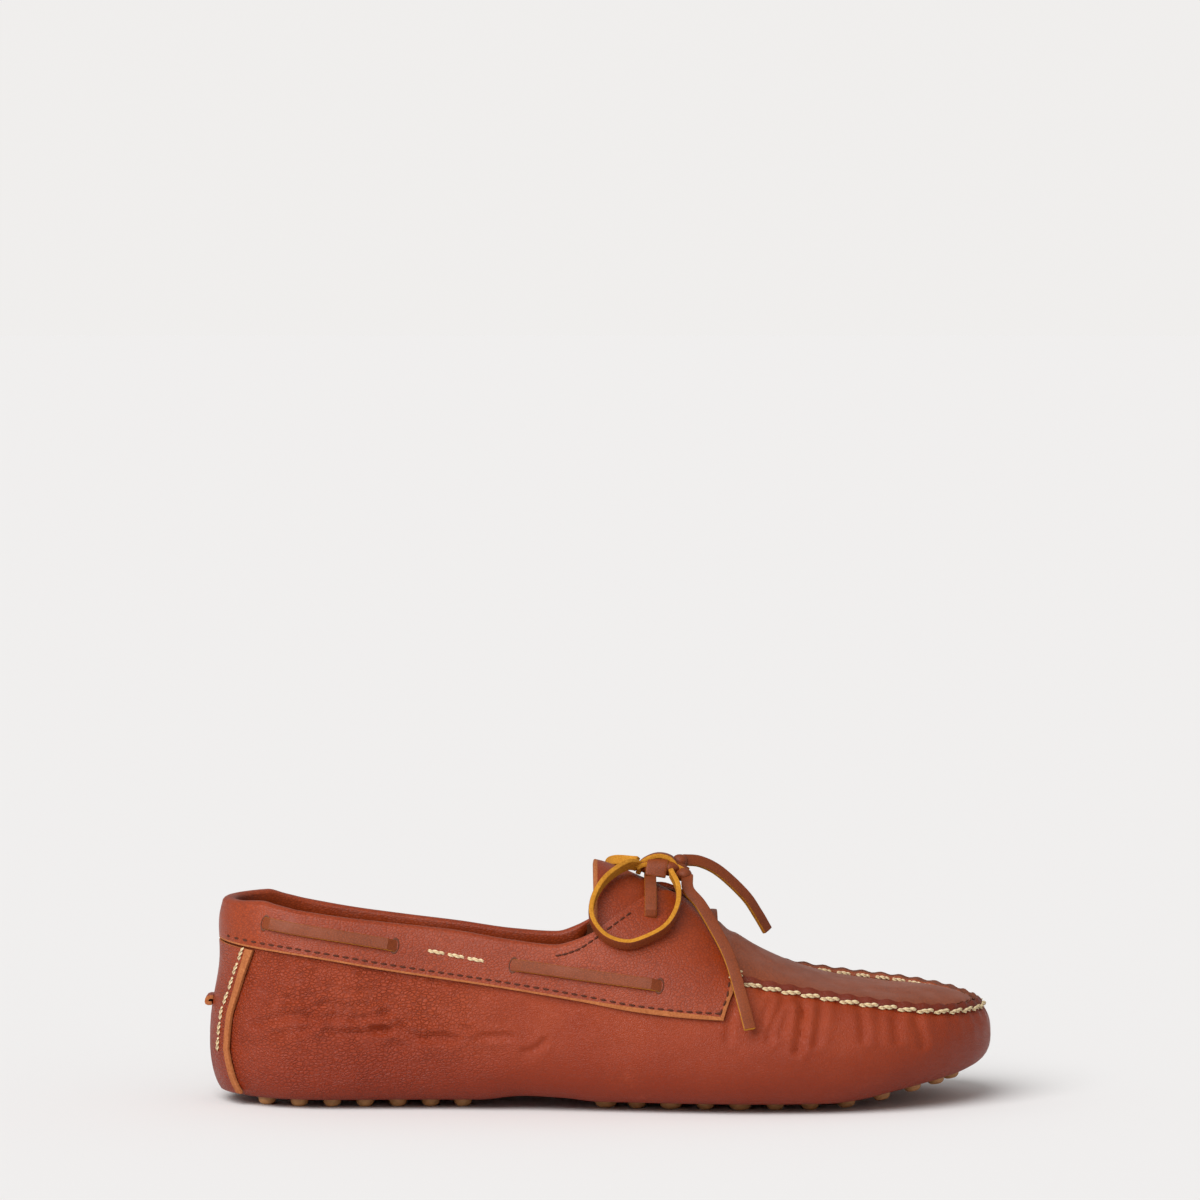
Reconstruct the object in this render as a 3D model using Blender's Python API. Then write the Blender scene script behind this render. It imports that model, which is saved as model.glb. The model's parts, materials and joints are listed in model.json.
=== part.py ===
"""Driving loafer, right foot: a hand-sewn moccasin on rubber pebble pads, tied with a leather lace.

X runs from heel to toe, Y from the outer (lateral) side to the inner (medial) side, Z up from the floor.
Sizes are in millimetres until the meshes are made. Every leather piece is cut from one surface, the last:
a ring of ribs around the foot, each rib a rounded corner below its widest point (the belly) and a flattened
arch above it that ends at the spine, the centre line over the instep and toes.
"""

import math
from collections import namedtuple

import bmesh
import bpy
import numpy as np

MM = 0.001

# Leather, rubber and the gap that touching pieces keep
GAP = 0.3
WRAP_WALL = 1.5
BAND_WALL = 1.1
PATCH_WALL = 1.2
APRON_WALL = 1.5
TONGUE_WALL = 2.0
PAD_THICKNESS = 1.5
INSOLE_THICKNESS = 2.3

# The object's own frame: these shifts put the origin under the middle of the shoe
ORIGIN_X = -0.31
ORIGIN_Y = -1.33

# Belly line, the widest line around the shoe, seen from above. belly_z is its height, foot_in how far inside
# it the flat of the sole starts, square how boxy the arch above it is (2 is an ellipse), and hollow how far
# that arch draws in halfway up the heel.
Hull = namedtuple("Hull", "name x y belly_z foot_in square hollow")
HULL = [
    Hull("heel back", -123.1, 0.0, 18.5, 5.8, 2.60, 2.2),
    Hull("heel turn, outer", -116.5, -18.5, 18.5, 6.0, 2.50, 1.5),
    Hull("heel side, outer", -100.0, -29.5, 18.5, 6.2, 2.30, 0.4),
    Hull("heel front, outer", -75.0, -32.5, 19.0, 7.5, 2.20, 0.0),
    Hull("waist, outer", -40.0, -34.0, 19.0, 9.5, 2.10, 0.0),
    Hull("instep, outer", -5.0, -38.0, 18.5, 9.5, 2.00, 0.0),
    Hull("ball rear, outer", 25.0, -42.5, 18.0, 9.0, 2.00, 0.0),
    Hull("ball, outer", 50.0, -44.5, 18.0, 9.0, 2.00, 0.0),
    Hull("toe rear, outer", 78.0, -41.5, 18.0, 9.0, 2.20, 0.0),
    Hull("toe side, outer", 102.0, -32.0, 18.5, 9.0, 2.30, 0.0),
    Hull("toe turn, outer", 117.5, -17.0, 19.5, 8.8, 2.40, 0.0),
    Hull("toe tip", 125.2, 3.5, 19.8, 8.6, 2.40, 0.0),
    Hull("toe turn, inner", 119.5, 22.0, 19.5, 8.8, 2.40, 0.0),
    Hull("toe side, inner", 104.0, 35.0, 18.5, 9.0, 2.30, 0.0),
    Hull("toe rear, inner", 80.0, 41.0, 18.0, 8.5, 2.20, 0.0),
    Hull("ball, inner", 50.0, 41.0, 18.0, 8.5, 2.00, 0.0),
    Hull("ball rear, inner", 25.0, 36.5, 18.0, 10.0, 2.00, 0.0),
    Hull("instep, inner", -5.0, 31.5, 18.5, 12.0, 2.00, 0.0),
    Hull("waist, inner", -40.0, 30.0, 19.0, 12.0, 2.10, 0.0),
    Hull("heel front, inner", -75.0, 31.0, 19.0, 8.0, 2.20, 0.0),
    Hull("heel side, inner", -100.0, 28.5, 18.5, 6.2, 2.30, 0.4),
    Hull("heel turn, inner", -116.5, 18.0, 18.5, 6.0, 2.50, 1.5),
]
HOLLOW_SPAN = 0.36

# Spine: the centre line that the ribs aim at. crown_z is the top of the arch there.
Spine = namedtuple("Spine", "x y crown_z")
SPINE = [
    Spine(-96.0, 0.0, 86.0),
    Spine(-75.0, -0.5, 81.0),
    Spine(-40.0, -1.5, 80.0),
    Spine(-5.0, -2.0, 79.0),
    Spine(16.0, -1.7, 71.7),
    Spine(29.0, -1.2, 64.5),
    Spine(43.0, -0.6, 55.0),
    Spine(51.0, 0.0, 50.0),
    Spine(63.0, 1.0, 44.6),
    Spine(75.0, 2.0, 41.0),
    Spine(93.0, 3.0, 38.0),
]
HEEL_AIM = SPINE[0].x
TOE_AIM = SPINE[-1].x

# Underside of the leather: arch under the waist and spring under the toes
Sole = namedtuple("Sole", "x z")
SOLE = [
    Sole(-118.0, 2.8),
    Sole(-39.0, 2.8),
    Sole(-24.0, 4.2),
    Sole(-12.0, 3.8),
    Sole(0.0, 2.8),
    Sole(72.0, 2.8),
    Sole(82.0, 3.8),
    Sole(92.0, 5.8),
    Sole(102.0, 7.7),
    Sole(110.0, 9.0),
    Sole(118.0, 10.8),
]

# Top edge of the moccasin leather: collar, lace flap, then the crest of the toe seam, on each side
Topline = namedtuple("Topline", "x outer_z inner_z")
TOPLINE = [
    Topline(-118.0, 63.5, 63.5),
    Topline(-110.0, 64.0, 63.6),
    Topline(-103.0, 62.9, 61.9),
    Topline(-93.0, 61.2, 59.6),
    Topline(-80.0, 59.3, 57.2),
    Topline(-64.0, 57.6, 55.0),
    Topline(-46.0, 55.7, 52.8),
    Topline(-28.0, 52.8, 50.2),
    Topline(-14.0, 51.4, 49.2),
    Topline(-8.0, 52.8, 51.0),
    Topline(-2.0, 56.2, 54.9),
    Topline(3.0, 59.6, 58.8),
    Topline(8.0, 62.8, 62.2),
    Topline(12.0, 65.0, 64.6),
    Topline(16.0, 66.6, 66.3),
    Topline(20.0, 67.0, 66.8),
    Topline(24.0, 65.9, 65.8),
    Topline(28.0, 63.4, 63.4),
    Topline(32.0, 59.6, 59.8),
    Topline(36.0, 54.8, 55.2),
    Topline(40.0, 49.4, 50.2),
    Topline(44.0, 43.9, 45.2),
    Topline(54.0, 41.2, 42.4),
    Topline(66.0, 38.9, 40.2),
    Topline(78.0, 36.8, 38.4),
    Topline(92.0, 34.7, 36.9),
    Topline(105.0, 33.2, 35.6),
    Topline(117.0, 32.2, 33.9),
    Topline(125.2, 32.0, 32.0),
]

# Lower edge of the collar band, the same on both sides
BandEdge = namedtuple("BandEdge", "x z")
BAND_EDGE = [
    BandEdge(-123.4, 52.2),
    BandEdge(-97.0, 49.2),
    BandEdge(-67.0, 44.4),
    BandEdge(-32.0, 39.4),
    BandEdge(-5.0, 35.2),
    BandEdge(10.0, 32.6),
    BandEdge(25.0, 30.9),
    BandEdge(39.5, 29.9),
]
BAND_FRONT_LOW_X = 39.5
BAND_FRONT_TOP_X = 44.5

# What is cut off the band in front of its slanted edge, seen from the side
BAND_FRONT = [(38.4, 26.0), (38.6, 30.0), (41.6, 36.3), (42.3, 40.0), (43.6, 46.0), (56.0, 46.0), (56.0, 26.0)]

# Toe seam: the wrap and the apron turn up together and stand this high
SEAM_LIP = 2.8
LIP_LEAN = 1.3
LIP_STARTS_X = 38.0
LIP_FULL_X = 44.0

# Stations along each side of the shoe, and how many more go round the heel and the toe
SIDE_X = [-96, -80, -66, -52, -39, -28, -14, -8, -2, 3, 8, 12, 16, 20, 24, 28, 32, 36, 40, 42, 44, 54, 66, 78, 92]
HEEL_STEPS = 4
TOE_STEPS = 5
CORNER_ROWS = [-1.0, -0.7, -0.36]

# Rubber pebble pads inside the leather, their pebbles through holes in it
Pad = namedtuple("Pad", "name rows edge_in across")
HEEL_PAD = Pad("heel_pebble_pad", [-105.6, -95.2, -84.8, -74.4, -64.0, -53.6, -43.4], 5.8, 13.0)
TOE_PAD = Pad(
    "forefoot_pebble_pad",
    [1.9, 11.7, 22.4, 33.3, 44.2, 55.3, 66.3, 77.7, 88.8, 98.8, 106.6, 111.6],
    8.2,
    14.0,
)
LARGE_PEBBLE_ROWS = [1.9, 22.4, 44.2]
PEBBLE_ROOT_R = 3.2
PEBBLE_TIP_R = 2.5
LARGE_PEBBLE_EXTRA = 0.8
PEBBLE_DROP = 2.8
PEBBLE_SIDES = 8
PAD_MARGIN = 0.8
PAD_END = 3.7

# Where the apron and the tongue start and end. The tongue dives under the apron's rear edge.
APRON_REAR_X = 35.5
LIP_PANEL_SINK = 0.6
LIP_FOOT = 1.1
TONGUE_REAR_X = -2.0
TONGUE_DIVES_X = 26.0
TONGUE_FRONT_X = 40.0

# Collar band: its last rib before the front edge is cut, and the roll at its top
BAND_LAST_RIB_X = 44.5
FOLD_FRONT_X = -7.0
FOLD_DEPTH = 3.6

# Heel patch: the ribs it covers each way from the back, and what is cut off in front of its side edges
PATCH_RIBS = 3
PATCH_BELOW_BAND = 0.8
PATCH_FRONT = [(-114.2, 0.0), (-115.8, 9.0), (-117.0, 18.0), (-116.2, 30.0), (-113.2, 43.0), (-109.4, 54.0)]
PATCH_FRONT += [(-90.0, 54.0), (-90.0, 0.0)]

# Heel keeper: how far it stands out at each height
KEEPER = [(28.2, 0.7), (29.6, 1.6), (32.8, 1.6), (34.2, 0.7)]
KEEPER_WIDTH = 8.0

# Laces: a flat strip of leather in runs on the band, two crossings over the instep and a bow
LACE_WIDTH = 3.8
LACE_THICKNESS = 1.6
LaceBar = namedtuple("LaceBar", "name x0 z0 x1 z1")
LACE_BARS = [
    LaceBar("rear_run", -107.2, 58.6, -64.0, 51.8),
    LaceBar("front_run", -27.8, 46.3, 19.2, 40.2),
]
BAR_STATIONS = 8

# Each crossing: height on the last (None is the spine) and clearance of its lower face
LOWER_CROSSING_X = 35.5
LOWER_CROSSING = [(57.3, -1.2), (58.7, -1.2), (59.9, -1.2), (None, -1.2)]
UPPER_CROSSING_X = 16.0
UPPER_CROSSING = [(61.8, 2.0), (64.4, 2.0), (66.8, 2.0), (68.8, 0.6), (70.6, -0.3), (None, -0.8)]

Knot = namedtuple("Knot", "x y z length width height")
KNOT = Knot(19.0, -1.5, 75.4, 13.0, 12.0, 6.2)
KNOT_SECTIONS = [(-1.0, 0.5), (-0.75, 0.85), (0.0, 1.0), (0.75, 0.85), (1.0, 0.5)]

# The bow: the direction of the strip's width, and its points from the knot on
FreeLace = namedtuple("FreeLace", "name wide points")
LacePoint = namedtuple("LacePoint", "x y z")
FREE_LACES = [
    FreeLace(
        "lace_outer_loop",
        (0.0, -0.72, 0.69),
        [
            LacePoint(11.8, -5.2, 75.2),
            LacePoint(8.0, -10.5, 75.6),
            LacePoint(1.6, -20.0, 72.1),
            LacePoint(-2.2, -26.4, 66.4),
            LacePoint(-2.5, -31.6, 60.7),
            LacePoint(1.6, -35.4, 55.6),
            LacePoint(7.8, -36.6, 53.5),
            LacePoint(13.2, -35.9, 54.5),
            LacePoint(20.4, -32.9, 58.0),
            LacePoint(24.3, -25.5, 63.2),
            LacePoint(24.9, -16.6, 68.8),
            LacePoint(22.6, -9.2, 73.2),
        ],
    ),
    FreeLace(
        "lace_inner_loop",
        (0.0, 0.75, 0.66),
        [
            LacePoint(11.8, 0.8, 75.6),
            LacePoint(4.5, 8.7, 75.1),
            LacePoint(2.2, 17.0, 71.8),
            LacePoint(3.0, 24.5, 64.2),
            LacePoint(7.0, 29.6, 55.2),
            LacePoint(13.0, 31.2, 52.0),
            LacePoint(19.5, 29.4, 55.4),
            LacePoint(23.5, 23.2, 62.4),
            LacePoint(24.5, 15.2, 68.6),
            LacePoint(22.6, 6.4, 73.6),
        ],
    ),
    FreeLace(
        "lace_outer_end",
        (0.9, 0.3, 0.25),
        [
            LacePoint(27.8, -7.0, 71.9),
            LacePoint(28.0, -14.0, 68.2),
            LacePoint(31.8, -17.6, 63.9),
            LacePoint(36.3, -25.2, 57.0),
            LacePoint(40.8, -33.3, 48.6),
            LacePoint(44.4, -42.0, 36.9),
            LacePoint(46.8, -46.4, 28.0),
        ],
    ),
    FreeLace(
        "lace_inner_end",
        (0.35, 0.6, 0.7),
        [
            LacePoint(26.4, 0.6, 76.2),
            LacePoint(32.0, 3.4, 75.4),
            LacePoint(38.4, 5.8, 71.9),
            LacePoint(46.4, 8.0, 64.2),
            LacePoint(50.6, 9.2, 58.0),
            LacePoint(53.8, 10.0, 52.4),
        ],
    ),
]

LEATHER = (0.33, 0.075, 0.028, 1.0)
APRON_LEATHER = (0.25, 0.085, 0.05, 1.0)
LACE_LEATHER = (0.17, 0.065, 0.04, 1.0)
RUBBER = (0.42, 0.19, 0.07, 1.0)
SOCK_LEATHER = (0.40, 0.20, 0.10, 1.0)


def smooth_table(rows, value_names):
    """A function of x through the rows: cubic between rows, with no overshoot past them."""
    x = np.array([row.x for row in rows], float)
    v = np.array([[getattr(row, name) for name in value_names] for row in rows], float)
    slope = np.diff(v, axis=0) / np.diff(x)[:, None]
    tangent = np.zeros_like(v)
    tangent[0], tangent[-1] = slope[0], slope[-1]
    before, after = slope[:-1], slope[1:]
    agree = before * after > 0
    total = np.where(agree, before + after, 1.0)
    tangent[1:-1] = np.where(agree, 2 * before * after / total, 0.0)

    def at(value):
        value = min(max(value, x[0]), x[-1])
        i = min(int(np.searchsorted(x, value, side="right")) - 1, len(x) - 2)
        step = x[i + 1] - x[i]
        f = (value - x[i]) / step
        rise = f * f * (3 - 2 * f)
        out = (1 - rise) * v[i] + rise * v[i + 1]
        out = out + step * (f * (1 - f) ** 2 * tangent[i] - f * f * (1 - f) * tangent[i + 1])
        return float(out[0]) if len(value_names) == 1 else out

    return at


def closed_spline(points, values):
    """A closed smooth curve of values through its rows, spaced by the distance between the points."""
    gaps = np.linalg.norm(np.roll(points, -1, axis=0) - points, axis=1)
    starts = np.concatenate([[0.0], np.cumsum(gaps)])
    n = len(values)
    matrix = np.zeros((n, n))
    right = np.zeros_like(values)
    for i in range(n):
        j = (i + 1) % n
        before, after = gaps[i - 1], gaps[i]
        matrix[i, i - 1] += before
        matrix[i, i] += 2 * (before + after)
        matrix[i, j] += after
        right[i] = 6 * ((values[j] - values[i]) / after - (values[i] - values[i - 1]) / before)
    bend = np.linalg.solve(matrix, right)

    def at(t):
        t = t % starts[-1]
        i = min(int(np.searchsorted(starts, t, side="right")) - 1, n - 1)
        j = (i + 1) % n
        a, b = (starts[i + 1] - t) / gaps[i], (t - starts[i]) / gaps[i]
        cubic = ((a**3 - a) * bend[i] + (b**3 - b) * bend[j]) * gaps[i] ** 2 / 6
        return a * values[i] + b * values[j] + cubic

    return at, starts


hull_points = np.array([(row.x, row.y) for row in HULL])
hull_values = np.array([row[1:] for row in HULL], float)
hull_at, hull_starts = closed_spline(hull_points, hull_values)
spine_at = smooth_table(SPINE, ["y", "crown_z"])
sole_z = smooth_table(SOLE, ["z"])
topline_at = smooth_table(TOPLINE, ["outer_z", "inner_z"])
band_edge_z = smooth_table(BAND_EDGE, ["z"])
TOE_T = float(hull_starts[[row.name for row in HULL].index("toe tip")])
RING = float(hull_starts[-1])

Rib = namedtuple("Rib", "x y out_x out_y span belly_z foot_in square hollow crown_z sole_z inner")


def rib_at(t):
    """The rib at distance t around the belly line, from the heel back along the outer side to the toe."""
    x, y, belly_z, foot_in, square, hollow = hull_at(t)
    aim_x = min(max(x, HEEL_AIM), TOE_AIM)
    aim_y, crown_z = spine_at(aim_x)
    span = math.hypot(x - aim_x, y - aim_y)
    out_x, out_y = (x - aim_x) / span, (y - aim_y) / span
    low = sole_z(x - foot_in * out_x)
    inner = t % RING > TOE_T
    return Rib(x, y, out_x, out_y, span, belly_z, foot_in, square, max(hollow, 0.0), crown_z, low, inner)


def t_at_x(x, inner):
    """Where the belly line passes x on the outer or the inner side."""
    low, high = (TOE_T, RING) if inner else (0.0, TOE_T)
    for _ in range(40):
        middle = (low + high) / 2
        ahead = hull_at(middle)[0] > x
        if ahead == inner:
            low = middle
        else:
            high = middle
    return (low + high) / 2


def rib_at_x(x, inner=False):
    return rib_at(t_at_x(x, inner))


def profile(rib, h):
    """Inset from the belly and height at h: -1 is the sole's edge, 0 the belly, 1 the spine."""
    if h < 0:
        turn = (1 + h) * math.pi / 2
        return rib.foot_in * (1 - math.sin(turn)), rib.sole_z + (rib.belly_z - rib.sole_z) * (1 - math.cos(turn))
    turn = min(h, 1.0) * math.pi / 2
    power = 2 / rib.square
    inset = rib.span * (1 - max(math.cos(turn), 0.0) ** power)
    inset += rib.hollow * math.sin(math.pi * min(h / HOLLOW_SPAN, 1.0)) ** 2
    return inset, rib.belly_z + (rib.crown_z - rib.belly_z) * math.sin(turn) ** power


def on_last(rib, h, off=0.0):
    """A point of the last at h, moved off along the surface's normal."""
    inset, z = profile(rib, h)
    if h >= 1.0:
        return np.array([rib.x - inset * rib.out_x, rib.y - inset * rib.out_y, z + off])
    step = 1e-3
    rise = np.subtract(profile(rib, min(h + step, 1.0)), profile(rib, max(h - step, -1.0)))
    normal_out, normal_z = rise[::-1] / math.hypot(*rise)
    away = off * normal_out - inset
    return np.array([rib.x + away * rib.out_x, rib.y + away * rib.out_y, z + off * normal_z])


def h_of_z(rib, z):
    """Where the arch above the belly reaches height z."""
    share = min(max((z - rib.belly_z) / (rib.crown_z - rib.belly_z), 0.0), 1.0)
    return math.asin(share ** (rib.square / 2)) * 2 / math.pi


def h_of_inset(rib, inset):
    """Where the arch above the belly is inset this far, away from the heel's hollow."""
    left = max(1 - inset / rib.span, 0.0)
    return math.acos(left ** (rib.square / 2)) * 2 / math.pi


def ease(value, start, end):
    """0 up to start and 1 from end on, with a smooth change between."""
    f = min(max((value - start) / (end - start), 0.0), 1.0)
    return f * f * (3 - 2 * f)


def top_z(rib):
    """Height of the wrap's top edge at a rib."""
    return float(topline_at(rib.x)[int(rib.inner)])


def lip_share(rib):
    """0 where the top edge lies flat on the last, 1 where it turns up into the toe seam."""
    return ease(rib.x, LIP_STARTS_X, LIP_FULL_X)


def wall_rows(rib):
    """Where the wrap's wall rows lie: up to the band's lower edge, on up to the bend of the lip."""
    bend = top_z(rib) - SEAM_LIP
    past_band = ease(rib.x, BAND_FRONT_LOW_X - 3.5, BAND_FRONT_TOP_X + 10)
    edge = (1 - past_band) * band_edge_z(rib.x) + past_band * (rib.belly_z + 0.5 * (bend - rib.belly_z))
    heights = [rib.belly_z, (rib.belly_z + edge) / 2, edge, edge + (bend - edge) / 3, edge + (bend - edge) * 2 / 3, bend]
    return [h_of_z(rib, z) for z in heights]


def side_stations(inner):
    """Ribs of one side from the heel back to the toe tip."""
    first, last = t_at_x(SIDE_X[0], inner), t_at_x(SIDE_X[-1], inner)
    heel, toe = (RING if inner else 0.0), TOE_T
    heel_turn = [heel + (first - heel) * k / HEEL_STEPS for k in range(HEEL_STEPS)]
    sides = [t_at_x(x, inner) for x in SIDE_X]
    toe_turn = [last + (toe - last) * k / TOE_STEPS for k in range(1, TOE_STEPS + 1)]
    return [rib_at(t) for t in heel_turn + sides + toe_turn]


OUTER = side_stations(False)
INNER = side_stations(True)
RIBS = OUTER + INNER[-2:0:-1]


def new_material(name, colour, roughness):
    material = bpy.data.materials.new(name)
    material.use_nodes = True
    shader = material.node_tree.nodes["Principled BSDF"]
    shader.inputs["Base Color"].default_value = colour
    shader.inputs["Roughness"].default_value = roughness
    return material


def new_object(name, points, faces, material, home):
    """A closed object, faces out, from points in millimetres of the shoe's own sizes."""
    shifted = (np.array(points) - (ORIGIN_X, ORIGIN_Y, 0.0)) * MM
    mesh = bpy.data.meshes.new(name)
    mesh.from_pydata([tuple(p) for p in shifted], [], faces)
    work = bmesh.new()
    work.from_mesh(mesh)
    bmesh.ops.delete(work, geom=[v for v in work.verts if not v.link_faces], context="VERTS")
    bmesh.ops.recalc_face_normals(work, faces=work.faces)
    work.to_mesh(mesh)
    work.free()
    if material:
        mesh.materials.append(material)
    made = bpy.data.objects.new(name, mesh)
    home.objects.link(made)
    return made


def grid_faces(count, tall, ring=False):
    """Triangles between columns of points. All pieces split their quads the same way, so that layers stay apart."""
    faces = []
    for c in range(count if ring else count - 1):
        after = (c + 1) % count
        for k in range(tall - 1):
            low, low_after = c * tall + k, after * tall + k
            faces += [(low, low_after, low_after + 1), (low, low_after + 1, low + 1)]
    return faces


def slab(name, over, under, faces, material, home):
    """A closed solid between two sheets that share their faces, one over the other, joined at their open edges."""
    first = {}
    index = [first.setdefault(tuple(np.round(p, 4)), k) for k, p in enumerate(over)]
    welded = [tuple(dict.fromkeys(index[k] for k in face)) for face in faces]
    welded = [face for face in welded if len(face) > 2]
    edges = {edge for face in welded for edge in zip(face, face[1:] + face[:1])}
    low = len(over)
    solid = welded + [tuple(low + k for k in face[::-1]) for face in welded]
    solid += [(b, a, low + a, low + b) for a, b in sorted(edges) if (b, a) not in edges]
    return new_object(name, over + under, solid, material, home)


def flatten(columns):
    return [p for column in columns for p in column]


def loft(name, sections, material, home):
    """A closed solid through outlines of equal count."""
    count = len(sections[0])
    points = [p for section in sections for p in section]
    faces = [tuple(range(count)), tuple(range((len(sections) - 1) * count, len(sections) * count))]
    for s in range(len(sections) - 1):
        for k in range(count):
            j = (k + 1) % count
            faces.append((s * count + k, s * count + j, (s + 1) * count + j, (s + 1) * count + k))
    return new_object(name, points, faces, material, home)


def boolean(made, tool, operation):
    """Cuts or joins another closed mesh, which is then only a guide."""
    change = made.modifiers.new(tool.name, "BOOLEAN")
    change.operation = operation
    change.object = tool
    tool.hide_render = True
    tool.display_type = "WIRE"


def wrap_rim(rib, off=0.0):
    """The top edge: flat on the last, or turned up at the toe seam; off is as for on_last."""
    flat = on_last(rib, h_of_z(rib, top_z(rib)), off)
    out = np.array([rib.out_x, rib.out_y, 0.0])
    turned = on_last(rib, h_of_z(rib, top_z(rib) - SEAM_LIP)) + (off - LIP_LEAN) * out
    turned[2] = top_z(rib)
    share = lip_share(rib)
    return (1 - share) * flat + share * turned


def wrap_column(rib, depth):
    """The wrap at one rib, depth below its outer face, from the sole's edge up to the rim."""
    return [on_last(rib, h, -depth) for h in CORNER_ROWS + wall_rows(rib)] + [wrap_rim(rib, -depth)]


def make_wrap(leather, home):
    """Moccasin wrap: one leather that is the bottom, both sides and the heel, up to the collar and toe seam."""
    outside, inside = [[wrap_column(rib, depth) for rib in RIBS] for depth in (0.0, WRAP_WALL)]
    tall, count = len(outside[0]), len(RIBS)
    faces = grid_faces(count, tall, ring=True)
    for k in range(len(OUTER) - 1):
        inner, inner_after = (count - k) % count, count - k - 1
        faces.append(tuple(dict.fromkeys([k * tall, inner * tall, inner_after * tall, (k + 1) * tall])))
    return slab("moccasin_wrap", flatten(outside), flatten(inside), faces, leather, home)


def foot_y(x, inner):
    """Y of the sole's edge at x."""
    low, high = (TOE_T, RING) if inner else (0.0, TOE_T)
    for _ in range(30):
        middle = (low + high) / 2
        ahead = on_last(rib_at(middle), -1.0)[0] > x
        if ahead == inner:
            low = middle
        else:
            high = middle
    return float(on_last(rib_at((low + high) / 2), -1.0)[1])


def pebbles_of(pad):
    """Centre and extra radius of each pebble: rows across the pad, with one more and one fewer in turn."""
    found = []
    for k, x in enumerate(pad.rows):
        outer = foot_y(x, False) + pad.edge_in
        inner = foot_y(x, True) - pad.edge_in
        count = max(2, round((inner - outer) / pad.across) + (k % 2))
        extra = LARGE_PEBBLE_EXTRA if x in LARGE_PEBBLE_ROWS else 0.0
        for y in np.linspace(outer, inner, count):
            found.append((x, float(y), extra if y in (outer, inner) else 0.0))
    return found


def pebble_rings(x, y, low, high, low_r, high_r):
    """Two rings of a pebble, square to the leather under it."""
    slope = (sole_z(x + 1) - sole_z(x - 1)) / 2
    lean = math.hypot(1, slope)
    along, down = np.array([1, 0, slope]) / lean, np.array([slope, 0, -1]) / lean
    centre = np.array([x, y, sole_z(x)])
    turns = [2 * math.pi * (k + 0.5) / PEBBLE_SIDES for k in range(PEBBLE_SIDES)]
    rings = []
    for depth, radius in ((low, low_r), (high, high_r)):
        across = [radius * (math.cos(a) * along + math.sin(a) * np.array([0, 1, 0])) for a in turns]
        rings.append([centre + down * depth + step for step in across])
    return rings


def pebble_set(name, pads, low, high, low_r, high_r, home):
    """All pebbles, or all their holes, as one mesh of separate frustums."""
    points, faces = [], []
    n = PEBBLE_SIDES
    for x, y, extra in [p for pad in pads for p in pebbles_of(pad)]:
        start = len(points)
        for ring in pebble_rings(x, y, low, high, low_r + extra, high_r + extra):
            points.extend(ring)
        faces.append(tuple(range(start, start + n)))
        faces.append(tuple(range(start + n, start + 2 * n)))
        for k in range(n):
            j = (k + 1) % n
            faces.append((start + k, start + j, start + n + j, start + n + k))
    return new_object(name, points, faces, None, home)


def make_pad(pad, rubber, home, cutters):
    """Pebble pad: a thin rubber sheet on the leather's inside, its pebbles down through the holes."""
    low = WRAP_WALL + GAP
    first, last = pad.rows[0] - PAD_END, pad.rows[-1] + PAD_END
    sections = []
    for x in [first] + pad.rows + [last]:
        narrow = PAD_END if x in (first, last) else 0.0
        outer = foot_y(x, False) + PAD_MARGIN + narrow
        inner = foot_y(x, True) - PAD_MARGIN - narrow
        z = sole_z(x) + low
        sections.append([(x, outer, z), (x, inner, z), (x, inner, z + PAD_THICKNESS), (x, outer, z + PAD_THICKNESS)])
    made = loft(pad.name, sections, rubber, home)
    root = -(low + PAD_THICKNESS / 2)
    pebbles = pebble_set(pad.name + "_pebbles", [pad], root, PEBBLE_DROP, PEBBLE_ROOT_R, PEBBLE_TIP_R, cutters)
    boolean(made, pebbles, "UNION")
    return made


def make_insole(leather, home):
    """Insole sock: a flat leather-covered pad over the pebble pads."""
    low = WRAP_WALL + GAP + PAD_THICKNESS + GAP
    over = []
    for pair in list(zip(OUTER, INNER))[1:-1]:
        for rib in pair:
            inset = 0.5 * rib.foot_in + 2.2
            x, y = rib.x - inset * rib.out_x, rib.y - inset * rib.out_y
            over.append(np.array([x, y, sole_z(x) + low + INSOLE_THICKNESS]))
    under = [p - (0, 0, INSOLE_THICKNESS) for p in over]
    return slab("insole", over, under, grid_faces(len(over) // 2, 2), leather, home)


def apron_column(rib, depth):
    """The apron at one rib, depth below its top face: the lip, or the part under the lace flap, to the spine."""
    share = lip_share(rib)
    clear = WRAP_WALL + GAP * (1 + 9 * share * (1 - share))
    bend = h_of_z(rib, top_z(rib) - SEAM_LIP)
    bend_inset = profile(rib, bend)[0]
    lip_top = on_last(rib, bend) - (clear + LIP_LEAN + APRON_WALL - depth) * np.array([rib.out_x, rib.out_y, 0.0])
    lip_top[2] = top_z(rib) - GAP
    panel = h_of_inset(rib, bend_inset + clear + APRON_WALL - depth * LIP_FOOT)
    lip_low = on_last(rib, panel, -LIP_PANEL_SINK - depth)
    rows = wall_rows(rib)
    start = (1 - share) * h_of_z(rib, top_z(rib)) + share * panel
    column = [
        (1 - share) * on_last(rib, rows[-2], -clear - depth) + share * lip_top,
        (1 - share) * on_last(rib, h_of_z(rib, top_z(rib)), -clear - depth) + share * lip_low,
    ]
    for f in (0.35, 0.7, 1.0):
        sink = clear + share * (1 - f) * (LIP_PANEL_SINK - clear)
        column.append(on_last(rib, start + (1 - start) * f, -sink - depth))
    return column


def make_apron(leather, home):
    """Apron: the panel over the toes, its edge turned up inside the wrap's at the seam."""
    ribs = [rib for rib in OUTER if rib.x >= APRON_REAR_X]
    ribs += [rib for rib in INNER if rib.x >= APRON_REAR_X][-2::-1]
    top, bottom = [[apron_column(rib, depth) for rib in ribs] for depth in (0.0, APRON_WALL)]
    return slab("apron", flatten(top), flatten(bottom), grid_faces(len(ribs), len(top[0])), leather, home)


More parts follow.
